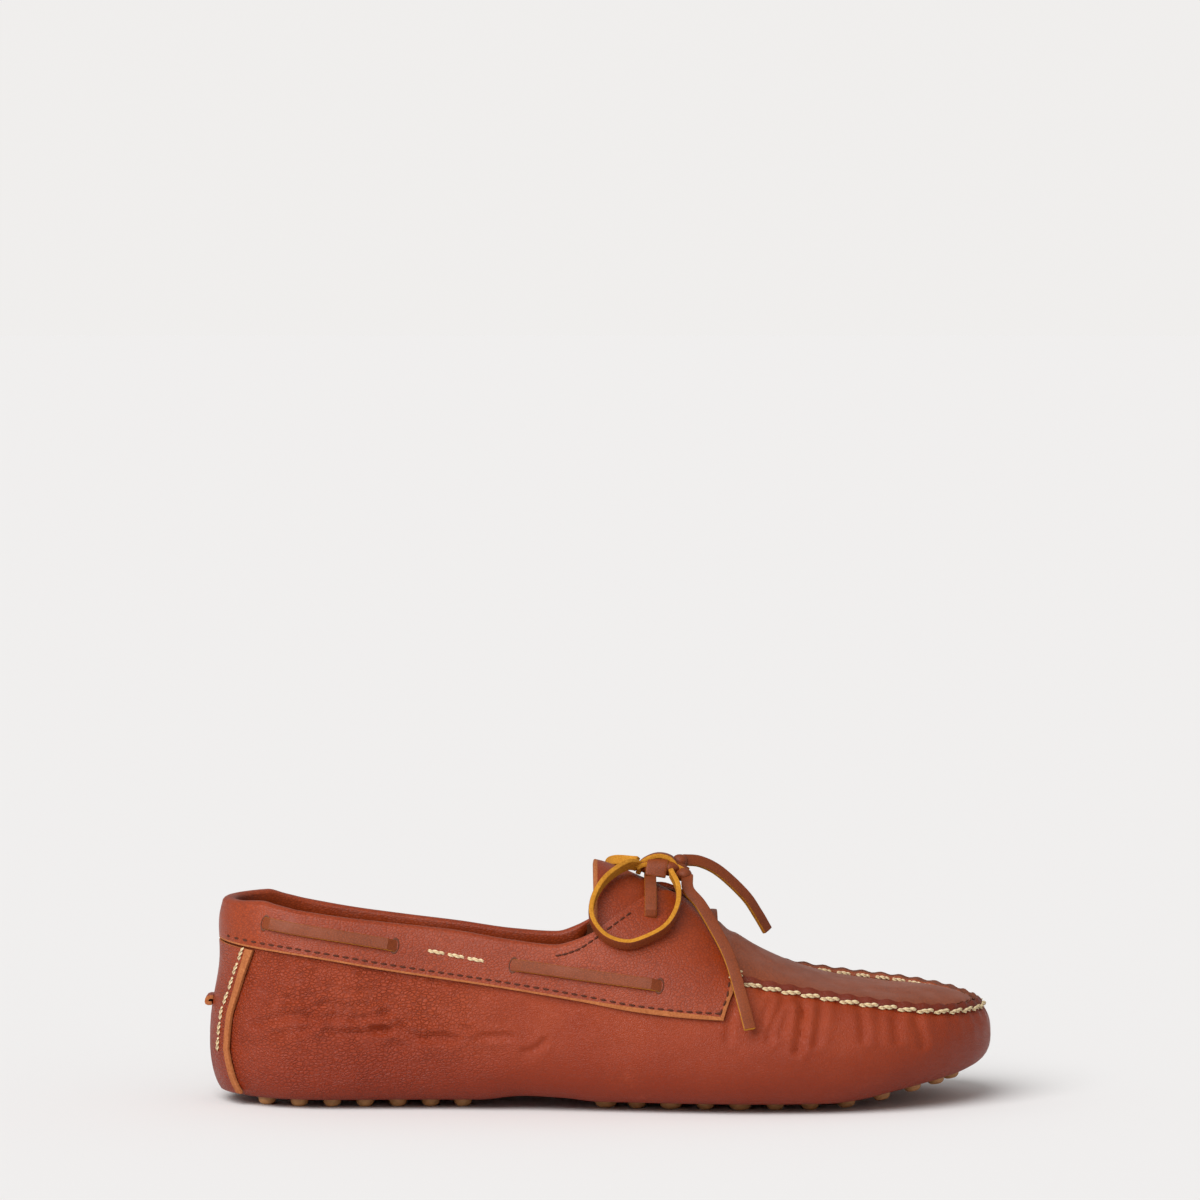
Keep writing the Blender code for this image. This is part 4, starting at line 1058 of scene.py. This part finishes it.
# %% The wrap, welded and thickened
WRAP_SIDES = (wrap_grain, lining, lining)
LEATHER_SIDES = (wrap_grain, lining, raw_edge)
wall_sheet = lay_sheet("wrap_leather", np.concatenate([ring, ring[:1]]), WRAP_SIDES)
edge_outer = np.array([ring[k, 0] for k in range(len(outer_ts))])
edge_inner = np.array([ring[-k % len(ring_ts), 0] for k in range(len(outer_ts))])
across = np.linspace(0, 1, 25)
bottom = edge_outer[:, None] * (1 - across[:, None]) + edge_inner[:, None] * across[:, None]
bottom_sheet = lay_sheet("bottom_leather", bottom, WRAP_SIDES)
flat_uv = bottom_sheet.data.uv_layers[0].data
flat_uv.foreach_set("uv", np.zeros(2 * len(flat_uv)))
alone(wall_sheet)
bottom_sheet.select_set(True)
bpy.ops.object.join()
wrap = bpy.context.object
close_seams(wrap)
thicken(wrap, WRAP_WALL)
soften(wrap)
dress(wrap, "wrap_leather")
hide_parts("moccasin_wrap")
print("wrap:", len(wrap.data.polygons), "faces")

# %% [markdown]
# ## The pebble pads
# The shoe walks on two fields of rubber pebbles, under the forefoot and under the heel. Each field is one
# moulded pad that lies behind the leather, and its pebbles stand out through holes in the bottom. One pebble
# is modelled from a cylinder, narrower at its foot and rounded there. The rest are copies of it.

# %% One pebble, and its copies
def pebble_master():
    bpy.ops.object.select_all(action="DESELECT")
    bpy.ops.mesh.primitive_cylinder_add(vertices=20, radius=PEBBLE_ROOT_R * MM, depth=8 * MM)
    pebble = bpy.context.object
    bpy.ops.object.mode_set(mode="EDIT")
    bpy.ops.mesh.select_all(action="DESELECT")
    bpy.ops.object.mode_set(mode="OBJECT")
    for face in pebble.data.polygons:
        face.select = face.normal.z < -0.9
    bpy.ops.object.mode_set(mode="EDIT")
    bpy.ops.transform.resize(value=(0.86, 0.86, 1.0), center_override=(0, 0, 0))
    bpy.ops.mesh.bevel(offset=1.7 * MM, segments=5, affect="EDGES")
    bpy.ops.object.mode_set(mode="OBJECT")
    pebble.data.materials.append(gum)
    return pebble


def foot_y(x, inner):
    """Y of the sole's edge at x."""
    low, high = (TOE_T, RING) if inner else (0.0, TOE_T)
    for _ in range(30):
        middle = (low + high) / 2
        ahead = on_last(rib_at(middle), -1.0)[0] > x
        if ahead == inner:
            low = middle
        else:
            high = middle
    return float(on_last(rib_at((low + high) / 2), -1.0)[1])


def pebbles_of(pad):
    """Centre and extra radius of each pebble: rows across the pad, with one more and one fewer in turn."""
    found = []
    for k, x in enumerate(pad.rows):
        outer = foot_y(x, False) + pad.edge_in
        inner = foot_y(x, True) - pad.edge_in
        count = max(2, round((inner - outer) / pad.across) + (k % 2))
        extra = LARGE_PEBBLE_EXTRA if x in LARGE_PEBBLE_ROWS else 0.0
        for y in np.linspace(outer, inner, count):
            found.append((x, float(y), extra if y in (outer, inner) else 0.0))
    return found


master = pebble_master()
master_points = np.array([v.co for v in master.data.vertices]) / MM
tip = master_points[:, 2].min()


def make_pad(pad):
    low = WRAP_WALL + GAP
    first, last = pad.rows[0] - PAD_END, pad.rows[-1] + PAD_END
    xs = np.linspace(first, last, 60)
    places = []
    for x in xs:
        narrow = PAD_MARGIN + PAD_END * (1 - ease(min(x - first, last - x), 0, PAD_END))
        outer, inner = foot_y(x, False) + narrow, foot_y(x, True) - narrow
        places.append([(x, outer + (inner - outer) * f, sole_z(x) + low + PAD_THICKNESS) for f in np.linspace(0, 1, 13)])
    base = lay_sheet(pad.name.replace("pad", "rubber"), np.array(places), (gum, gum, gum))
    thicken(base, PAD_THICKNESS, eased=0.4)
    copies = [base]
    for x, y, extra in pebbles_of(pad):
        slope = (sole_z(x + 1) - sole_z(x - 1)) / 2
        lean = math.hypot(1, slope)
        along, up = np.array([1, 0, slope]) / lean, np.array([-slope, 0, 1]) / lean
        size = (PEBBLE_ROOT_R + extra) / PEBBLE_ROOT_R
        local = master_points * (size, size, 1.0)
        centre = np.array([x, y, sole_z(x)]) - up * PEBBLE_DROP
        places = centre + local[:, :1] * along + local[:, 1:2] * (0, 1, 0) + (local[:, 2:] - tip) * up
        copy = master.copy()
        copy.data = master.data.copy()
        bpy.context.collection.objects.link(copy)
        copy.data.vertices.foreach_set("co", to_frame(places).ravel())
        copies.append(copy)
    alone(base)
    for copy in copies[1:]:
        copy.select_set(True)
    bpy.ops.object.join()
    soften(base)
    dress(base, "gum_rubber")
    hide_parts(pad.name)
    print(base.name, "has", len(copies) - 1, "pebbles")
    return base


for pad in (HEEL_PAD, TOE_PAD):
    make_pad(pad)
bpy.data.objects.remove(master)

# %% [markdown]
# ## The insole
# The insole is a thin sheet of leather that hides the backs of the pads, and the foot stands on it. It is
# cut to the outline of the last's sole and laid in when the upper is finished. Its rows run across the shoe
# from one side of the sole to the other, a little inside the walls, so that nothing rubs.

# %% The insole sock
insole_low = WRAP_WALL + GAP + PAD_THICKNESS + GAP
places = []
for t_out, t_in in list(zip(outer_ts, inner_ts))[3:-3:2]:
    ends = []
    for t in (t_out, t_in):
        rib = rib_at(t)
        inset = 0.5 * rib.foot_in + 2.2
        x, y = rib.x - inset * rib.out_x, rib.y - inset * rib.out_y
        ends.append(np.array([x, y, sole_z(x) + insole_low + INSOLE_THICKNESS]))
    places.append([ends[0] * (1 - f) + ends[1] * f for f in np.linspace(0, 1, 15)])
insole = lay_sheet("insole_sock", np.array(places), (sock, sock, sock))
thicken(insole, INSOLE_THICKNESS, eased=0.6, segments=3)
soften(insole)
dress(insole, "sock_leather")
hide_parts("insole")

# %% [markdown]
# ## The apron
# The apron is the flat piece on top of the toe. Its edge is turned up against the wrap's edge, and the seam
# goes through both. Each column starts at that turned lip and runs over the last to its crest, and at the
# tip the columns fan out round the toe, so the rows of the grid follow the seam.

# %% The apron's fan of columns
APRON_ROWS = 30


def apron_places(t):
    rib = rib_at(t)
    share = lip_share(rib)
    clear = WRAP_WALL + GAP * (1 + 9 * share * (1 - share))
    bend = h_of_z(rib, top_z(rib) - SEAM_LIP)
    bend_inset = profile(rib, bend)[0]
    out = np.array([rib.out_x, rib.out_y, 0.0])
    foot = on_last(rib, bend)
    wave = scallop(t)
    panel = h_of_inset(rib, bend_inset + clear + APRON_WALL)
    start = (1 - share) * h_of_z(rib, top_z(rib)) + share * panel
    crest_z = top_z(rib) - GAP + 0.25 * wave
    lip = []
    # from the crest's outer shoulder over its top and down to the panel
    for inset, drop in ((0.15, 0.25), (0.5, 0.0), (1.0, 0.05), (1.45, 0.5), (1.55, 1.3)):
        p = foot - (clear + LIP_LEAN + inset) * out
        p[2] = crest_z - drop
        lip.append(p)
    low = on_last(rib, panel, -LIP_PANEL_SINK)
    lip.append(low)
    under_h = np.linspace(h_of_z(rib, top_z(rib) - SEAM_LIP * 0.8), h_of_z(rib, top_z(rib)), len(lip))
    under = [on_last(rib, h, -clear) for h in under_h]
    column = [(1 - share) * u + share * p for u, p in zip(under, lip)]
    for f in np.linspace(0, 1, APRON_ROWS)[1:]:
        sink = clear + share * (1 - min(f / 0.5, 1)) * (LIP_PANEL_SINK - clear)
        column.append(on_last(rib, start + (1 - start) * f, -sink))
    return column


apron_xs = np.linspace(APRON_REAR_X, 92, 58)
apron_outer = [t_at_x(x, False) for x in apron_xs]
apron_inner = [t_at_x(x, True) for x in apron_xs]
toe_out = [apron_outer[-1] + (TOE_T - apron_outer[-1]) * k / 40 for k in range(1, 41)]
toe_in = [apron_inner[-1] + (TOE_T - apron_inner[-1]) * k / 40 for k in range(1, 40)]
apron_ts = apron_outer + toe_out + toe_in[::-1] + apron_inner[::-1]
apron = lay_sheet("apron_leather", np.array([apron_places(t) for t in apron_ts]), (apron_grain, lining, raw_edge))
close_seams(apron, gap=0.05)
thicken(apron, APRON_WALL * 0.9)
soften(apron)
dress(apron, "apron_leather")
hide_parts("apron")
print("apron:", len(apron.data.polygons), "faces")

# %% [markdown]
# ## The tongue
# The tongue covers the instep and is the sheet that the bow lies over. Its front dives under the apron, so
# the sheet sinks below the last's surface there. Each row goes over the last from one side to the other.

# %% The tongue
tongue_xs = np.linspace(TONGUE_REAR_X, TONGUE_FRONT_X, 36)
places = []
for x in tongue_xs:
    sink = WRAP_WALL + GAP + (APRON_WALL + 3 * GAP) * ease(x, TONGUE_DIVES_X, APRON_REAR_X)
    sides = []
    for inner in (False, True):
        rib = rib_at_x(x, inner)
        low = h_of_z(rib, top_z(rib) - SEAM_LIP * 2)
        sides.append([on_last(rib, h, -sink) for h in np.linspace(low, 1, 22)])
    places.append(sides[0] + sides[1][-2::-1])
tongue = lay_sheet("tongue_leather", np.array(places), (band_grain, lining, raw_edge))
bare_edges(tongue, 1, ends=(0,))
thicken(tongue, TONGUE_WALL, eased=0.4)
soften(tongue)
dress(tongue, "wrap_leather")
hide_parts("tongue")

# %% [markdown]
# ## The collar band
# The band is a strip of smoother leather round the opening, sewn over the wrap. Its lower edge is left raw,
# which gives the pale line along the shoe. Its top is rolled inwards, because a turned edge is soft on the
# foot and doesn't fray. Each column of the grid goes up the side and then round the roll.

# %% The band with its rolled top
BAND_STEPS, ROLL_STEPS = 24, 10
BAND_COLUMNS = 170


def front_x(z):
    """The slanted front edge of the band at a height."""
    xs, zs = zip(*BAND_FRONT[1:5])
    return float(np.interp(z, zs, xs))


def band_places(u, inner):
    """A column of the band at share u of the way from the heel to the front edge."""
    column = []
    off = GAP + BAND_WALL
    low_z, high_z = band_edge_z(39.5), topline_at(44.0)[int(inner)]
    heel = RING if inner else 0.0
    for v in np.linspace(0, 1, BAND_STEPS + 1):
        end = t_at_x(front_x(low_z + v * (high_z - low_z)), inner)
        rib = rib_at(heel + (end - heel) * u)
        z = band_edge_z(rib.x) + v * (top_z(rib) - band_edge_z(rib.x))
        column.append(on_last(rib, h_of_z(rib, z), off))
    roll = 1 - ease(rib.x, -8, 0)
    rim = h_of_z(rib, top_z(rib))
    width = 2 * off + WRAP_WALL
    for a in np.linspace(0, math.pi, ROLL_STEPS)[1:]:
        side = off - width * (1 - math.cos(a)) / 2 * (0.3 + 0.7 * roll)
        p = on_last(rib, rim, side)
        p[2] = top_z(rib) + (0.3 + 0.7 * roll) * off * math.sin(a)
        column.append(p)
    for f in (0.33, 0.66, 1.0):
        depth = 0.3 + FOLD_DEPTH * roll
        inside = off - width * (0.3 + 0.7 * roll)
        column.append(on_last(rib, h_of_z(rib, top_z(rib) - depth * f), inside))
    return column


us = np.linspace(0, 1, BAND_COLUMNS)
band_table = [band_places(u, True) for u in us[::-1]] + [band_places(u, False) for u in us[1:]]
band = lay_sheet("collar_band_leather", np.array(band_table), (band_grain, lining, raw_edge))
bare_edges(band, 1, rows=1)
thicken(band, BAND_WALL)
soften(band)
dress(band, "wrap_leather")
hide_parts("collar_band")
print("band:", len(band.data.polygons), "faces")

# %% [markdown]
# ## The heel patch and its keeper
# The patch covers the back of the heel, where a shoe is pulled on and wears first. It is widest at its top,
# under the band, and its cut edges show. The keeper is a small tab of leather that stands out from the patch like
# a loop. Here it is one thick strip that is bent out of the heel and back in.

# %% The heel patch
PATCH_COLUMNS, PATCH_STEPS = 35, 44
patch_zs, patch_xs = zip(*[(z, x) for x, z in PATCH_FRONT[:6]])
patch_top = h_of_z(rib_at(0.0), band_edge_z(rib_at(0.0).x) - PATCH_BELOW_BAND)
places = []
for u in np.linspace(-1, 1, 2 * PATCH_COLUMNS + 1):
    column = []
    for v in np.linspace(0, 1, PATCH_STEPS + 1):
        z_here = profile(rib_at(0.0), -0.7 + v * (patch_top + 0.7))[1]
        edge = t_at_x(float(np.interp(z_here, patch_zs, patch_xs)), u < 0)
        heel = RING if u < 0 else 0.0
        rib = rib_at(heel + (edge - heel) * abs(u))
        top = h_of_z(rib, band_edge_z(rib.x) - PATCH_BELOW_BAND)
        column.append(on_last(rib, -0.7 + v * (top + 0.7), GAP + PATCH_WALL))
    places.append(column)
patch = lay_sheet("heel_patch_leather", np.array(places), LEATHER_SIDES)
bare_edges(patch, 4)
thicken(patch, PATCH_WALL)
soften(patch)
dress(patch, "wrap_leather")
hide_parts("heel_patch")

# %% The keeper
back = rib_at(0.0)
places = []
for reach, z in ((0.0, 33.4), (1.2, 33.4), (2.0, 33.1), (2.45, 32.3), (2.45, 31.3), (2.0, 30.5), (1.2, 30.2), (0.0, 30.2)):
    base_x = float(on_last(back, h_of_z(back, z), GAP + PATCH_WALL)[0])
    places.append([(base_x - reach, y, z) for y in np.linspace(4, -4, 7)])
keeper = lay_sheet("heel_keeper_leather", np.array(places), LEATHER_SIDES)
thicken(keeper, 1.25)
soften(keeper)
dress(keeper, "wrap_leather")
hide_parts("heel_keeper")

# %% [markdown]
# ## Lace runs and crossings
# The lace goes round the collar in and out of slots, and only the outer runs show. Each run lies flat on
# the band and dives into the leather at both ends. In front of the tongue the lace crosses over from one
# side to the other before it is tied. The strip is the same one that the bow is made of.

# %% Runs along the collar
def lace_run(row, inner):
    off = GAP + BAND_WALL + LACE_THICKNESS / 2
    centres, wides = [], []
    for f in np.linspace(0, 1, 30):
        rib = rib_at_x(row.x0 + (row.x1 - row.x0) * f, inner)
        h = h_of_z(rib, row.z0 + (row.z1 - row.z0) * f)
        dive = 1.6 * (1 - ease(min(f, 1 - f), 0.0, 0.07))
        centres.append(on_last(rib, h, off - dive))
        wide = on_last(rib, h + 0.02, off) - on_last(rib, h - 0.02, off)
        wides.append(-wide if inner else wide)
    side = "inner" if inner else "outer"
    strip = lace_strip(f"lace_{side}_{row.name}_leather", centres, wides)
    dress(strip, "lace_leather")
    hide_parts(f"lace_{side}_{row.name}")


for inner in (False, True):
    for row in LACE_BARS:
        lace_run(row, inner)


def lace_over(name, x, rows):
    points = []
    for inner in (False, True):
        rib = rib_at_x(x, inner)
        dive = [(rows[0][0] - 1.6, rows[0][1] - 2.6), (rows[0][0] - 0.9, rows[0][1] - 0.5)]
        side = [on_last(rib, 1.0 if z is None else h_of_z(rib, z), off + LACE_THICKNESS / 2) for z, off in dive + rows]
        points += side if not inner else side[-2::-1]
    route = smooth_path(points, 40)
    strip = lace_strip(name + "_leather", route, np.tile([-1.0, 0, 0], (len(route), 1)))
    dress(strip, "lace_leather")
    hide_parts(name)


lace_over("lace_lower_crossing", LOWER_CROSSING_X, LOWER_CROSSING)
lace_over("lace_upper_crossing", UPPER_CROSSING_X, UPPER_CROSSING)

# %% [markdown]
# ## Threads
# The toe seam, the heel and the bar tacks are sewn by hand with waxed cream thread of three twisted plies.
# One ply is a small ring that a Screw modifier turns into a helix; the others are the first one turned on.
# The stitch is modelled once. Each copy is laid along its seam, its ends drawn in and bent down into
# the leather. The fine brown stitches of the collar are small rounded beads of thread.

# %% One twisted stitch
STITCH_LONG, PLY_R, PLY_OUT, PLIES = 5.3, 0.40, 0.34, 3


def stitch_master():
    bpy.ops.object.select_all(action="DESELECT")
    bpy.ops.mesh.primitive_circle_add(vertices=7, radius=PLY_R * MM)
    ply = bpy.context.object
    for point in ply.data.vertices:
        x, y, _ = point.co
        point.co = (x + PLY_OUT * MM, 0.0, y)
    screw = ply.modifiers.new("twist", "SCREW")
    screw.angle = math.radians(290)
    screw.screw_offset = STITCH_LONG * MM
    screw.steps = screw.render_steps = 14
    apply_all(ply)
    bpy.ops.object.mode_set(mode="EDIT")
    bpy.ops.mesh.select_all(action="SELECT")
    bpy.ops.mesh.fill_holes(sides=0)
    for _ in range(PLIES - 1):
        bpy.ops.mesh.duplicate()
        bpy.ops.transform.rotate(value=math.tau / PLIES, orient_axis="Z", center_override=(0, 0, 0))
    bpy.ops.mesh.select_all(action="SELECT")
    bpy.ops.mesh.normals_make_consistent(inside=False)
    bpy.ops.object.mode_set(mode="OBJECT")
    return ply


def bead_master():
    bpy.ops.object.select_all(action="DESELECT")
    bpy.ops.mesh.primitive_uv_sphere_add(segments=7, ring_count=5, radius=0.36 * MM)
    return bpy.context.object


stitch = stitch_master()
bead = bead_master()
print("one stitch has", len(stitch.data.polygons), "faces, one bead", len(bead.data.polygons))

# %% Laying copies along a seam
def sew(name, master, seats, material, slot, length=None, size=1.0, dip=0.55):
    """Copies of the master at each seat: centre, direction along the seam and direction out of the leather."""
    points = np.array([v.co for v in master.data.vertices]) / MM
    middle = (points[:, 2].min() + points[:, 2].max()) / 2
    half = (points[:, 2].max() - points[:, 2].min()) / 2
    run = (points[:, 2] - middle) / half
    draw_in = np.sqrt(np.clip(1.03 - run**4, 0, 1)) if master is stitch else np.ones_like(run)
    half = length / 2 if length else half * size
    copies = []
    for centre, ahead, up in seats:
        ahead = ahead / np.linalg.norm(ahead)
        side = np.cross(up, ahead)
        side /= np.linalg.norm(side)
        out = np.cross(ahead, side)
        flat = size * draw_in
        places = centre + np.outer(run * half, ahead) + np.outer(points[:, 0] * flat, side)
        places = places + np.outer(points[:, 1] * flat - dip * run**4, out)
        copy = master.copy()
        copy.data = master.data.copy()
        bpy.context.collection.objects.link(copy)
        copy.data.vertices.foreach_set("co", to_frame(places).ravel())
        copies.append(copy)
    alone(copies[0])
    for copy in copies[1:]:
        copy.select_set(True)
    bpy.ops.object.join()
    sewn = bpy.context.object
    sewn.name = sewn.data.name = name
    soften(sewn, 60)
    dress(sewn, slot, material)
    print(name, "has", len(seats), "stitches")
    return sewn


def seat_on(place, run, step=0.4):
    """Centre, direction and outward normal at run, where place gives a point for a run and an offset."""
    ahead = place(run + step, 0.0) - place(run - step, 0.0)
    return place(run, 0.0), ahead, place(run, 1.0) - place(run, 0.0)

# %% The toe seam, seen from outside and on the apron
def toe_seat(run, lean):
    """A stitch at the foot of the toe seam's lip, its front end a little higher."""
    t = float(np.interp(run, seam_run, seam_ts))
    rib = rib_at(t)
    a, b = [bend_point(rib_at(float(np.interp(run + d, seam_run, seam_ts)))) for d in (-1.5, 1.5)]
    out = np.array([rib.out_x, rib.out_y, 0.0])
    ahead = (b - a) / np.linalg.norm(b - a) + np.array([0, 0, lean])
    centre = lip_point(rib, t, 0.17) + 0.42 * out + (0, 0, 0.12)
    return centre, ahead, out + np.array([0, 0, 0.15])


def apron_seat(run):
    t = float(np.interp(run, seam_run, seam_ts))
    rib = rib_at(t)
    a, b = [bend_point(rib_at(float(np.interp(run + d, seam_run, seam_ts)))) for d in (-1.5, 1.5)]
    out = np.array([rib.out_x, rib.out_y, 0.0])
    centre = bend_point(rib) - (WRAP_WALL + GAP + LIP_LEAN + 1.75) * out
    centre[2] = top_z(rib) - 1.15
    return centre, b - a, np.array([0, 0, 0.8]) - out


middles = (np.arange(stitches) + 0.5) * pitch
outer_half = middles < seam_run[-1] / 2
seats = [toe_seat(run, 0.15 if first else -0.15) for run, first in zip(middles, outer_half)]
sew("toe_seam_thread", stitch, seats, cream_thread, "lace_leather", length=6.3)
sew("apron_seam_thread", stitch, [apron_seat(run) for run in middles], cream_thread, "lace_leather", length=5.0, size=0.8)

# %% Bar tacks on the collar, the heel and the start of the toe seam
def band_place(inner, x0, z0, x1, z1, over):
    """A straight line on the collar band, as a function of run in millimetres and offset."""
    long = math.hypot(x1 - x0, z1 - z0)

    def place(run, off):
        f = run / long
        rib = rib_at_x(x0 + (x1 - x0) * f, inner)
        return on_last(rib, h_of_z(rib, z0 + (z1 - z0) * f), over + off)

    return place, long


BAND_TOP = GAP + BAND_WALL
TACKS = (-54.6, 50.6, -36.0, 47.2)
seats = []
for inner in (False, True):
    place, long = band_place(inner, *TACKS, BAND_TOP + 0.25)
    seats += [seat_on(place, long * (k + 0.5) / 3) for k in range(3)]
    place, long = band_place(inner, 39.0, 40.6, 46.8, 43.4, BAND_TOP + 0.6)
    centre, ahead, up = seat_on(place, long / 2)
    seats += [(centre, ahead + np.array([0, 0, 2.0 * lean]), up) for lean in (-0.16, 0.2)]
sew("collar_tack_thread", stitch, seats, cream_thread, "lace_leather", length=5.9, size=0.85)

HEEL_STITCHES = 7
seats = []
for inner in (False, True):

    def place(run, off):
        z = 12.0 + run
        rib = rib_at(t_at_x(float(np.interp(z, patch_zs, patch_xs)) - 3.0, inner))
        return on_last(rib, h_of_z(rib, z) if z > rib.belly_z else -0.4 + 0.4 * (z - 11) / 8, GAP + PATCH_WALL + 0.2 + off)

    seats += [seat_on(place, 7.0 + 4.9 * k) for k in range(HEEL_STITCHES)]
sew("heel_thread", stitch, seats, cream_thread, "lace_leather", length=5.0, size=0.8)

# %% Fine brown stitches along the collar band
BEAD_PITCH = 3.0
seats = []
for inner in (False, True):

    def edge_place(run, off):
        rib = rib_at_x(-120.0 + run, inner)
        return on_last(rib, h_of_z(rib, band_edge_z(rib.x) + 1.9), BAND_TOP + 0.05 + off)

    seats += [seat_on(edge_place, run) for run in np.arange(1.0, 158.0, BEAD_PITCH)]

    def front_place(run, off):
        z = 31.8 + run
        rib = rib_at_x(front_x(z) - 1.9, inner)
        return on_last(rib, h_of_z(rib, z), BAND_TOP + 0.05 + off)

    seats += [seat_on(front_place, run) for run in np.arange(0.5, 9.5, 2.6)]

    def flap_place(run, off):
        rib = rib_at_x(-13.0 + run, inner)
        return on_last(rib, h_of_z(rib, top_z(rib) - 2.2), BAND_TOP + 0.05 + off)

    seats += [seat_on(flap_place, run) for run in np.arange(0.0, 24.0, 2.0)]
sew("collar_brown_thread", bead, seats, brown_thread, "wrap_leather", length=2.3, dip=0.2)

# %% [markdown]
# ## Slot shadows
# Each lace run goes through a punched slot at both of its ends. No hole is cut: the slot's dark opening
# that the lace dives into is a small dark ring, painted shadow.

# %% Dark rings of painted shadow where the lace goes in
bpy.ops.object.select_all(action="DESELECT")
bpy.ops.mesh.primitive_torus_add(major_segments=18, minor_segments=7, major_radius=2.15 * MM, minor_radius=0.42 * MM)
shadow_ring = bpy.context.object
shadow_ring_points = np.array([v.co for v in shadow_ring.data.vertices]) / MM
seats = []
shadow_rings = []
for inner in (False, True):
    for row in LACE_BARS:
        place, long = band_place(inner, row.x0, row.z0, row.x1, row.z1, BAND_TOP - 0.15)
        for run in (0.6, long - 0.6):
            centre, ahead, up = seat_on(place, run)
            ahead = ahead / np.linalg.norm(ahead)
            side = np.cross(up, ahead)
            places = centre + np.outer(shadow_ring_points[:, 0] * 0.6, ahead) + np.outer(shadow_ring_points[:, 1] * 1.08, side)
            places = places + np.outer(shadow_ring_points[:, 2] * 0.8, np.cross(ahead, side))
            copy = shadow_ring.copy()
            copy.data = shadow_ring.data.copy()
            bpy.context.collection.objects.link(copy)
            copy.data.vertices.foreach_set("co", to_frame(places).ravel())
            shadow_rings.append(copy)
alone(shadow_rings[0])
for copy in shadow_rings[1:]:
    copy.select_set(True)
bpy.ops.object.join()
slot_shadows = bpy.context.object
slot_shadows.name = slot_shadows.data.name = "lace_slot_rims"
soften(slot_shadows, 60)
# painted shadow: the rings take the dark lining finish
dress(slot_shadows, "wrap_leather", lining)
for master_piece in (stitch, bead, shadow_ring):
    bpy.data.objects.remove(master_piece)

# %% [markdown]
# ## Floor and light
# The shoe stands on pale paper in even, soft light. A sun with a very wide disc lights the whole floor evenly
# from the front left, and the world fills the shadows. What the camera sees of the world is as bright as the
# floor, so that no horizon shows.

# %% A pale floor and soft light
bpy.ops.object.select_all(action="DESELECT")
bpy.ops.mesh.primitive_grid_add(x_subdivisions=4, y_subdivisions=4, size=24.0)
floor = bpy.context.object
floor.name = "pale_floor"
floor.data.materials.append(pale_paper)

world = bpy.data.worlds.new("studio")
bpy.context.scene.world = world
world.use_nodes = True
tree = world.node_tree
fill = tree.nodes["Background"]
fill.inputs["Color"].default_value = (1.0, 0.99, 0.97, 1.0)
fill.inputs["Strength"].default_value = 0.42
seen = tree.nodes.new("ShaderNodeBackground")
seen.inputs["Color"].default_value = (0.871, 0.857, 0.845, 1.0)
choice = tree.nodes.new("ShaderNodeMixShader")
tree.links.new(tree.nodes.new("ShaderNodeLightPath").outputs["Is Camera Ray"], choice.inputs["Fac"])
tree.links.new(fill.outputs[0], choice.inputs[1])
tree.links.new(seen.outputs[0], choice.inputs[2])
tree.links.new(choice.outputs[0], tree.nodes["World Output"].inputs["Surface"])

bpy.ops.object.light_add(type="SUN", location=(-0.5, -0.9, 1.1))
sun = bpy.context.object
sun.data.angle = math.radians(50)
sun.data.energy = 2.5
sun.rotation_euler = Vector((0.38, 0.60, -0.75)).to_track_quat("-Z", "Y").to_euler()

# a soft lamp for the heel quarter, kept off the paper
bpy.ops.object.light_add(type="AREA", location=(-0.36, -0.46, 0.26))
lamp = bpy.context.object
lamp.data.size = 0.22
lamp.data.energy = 1.3
lamp.rotation_euler = (Vector((-0.085, -0.03, 0.035)) - lamp.location).to_track_quat("-Z", "Y").to_euler()
lit = bpy.data.collections.new("lit by the lamp")
for piece in bpy.context.scene.objects:
    if piece.type == "MESH" and piece is not floor:
        lit.objects.link(piece)
lamp.light_linking.receiver_collection = lit
bpy.context.scene.view_settings.view_transform = "Standard"
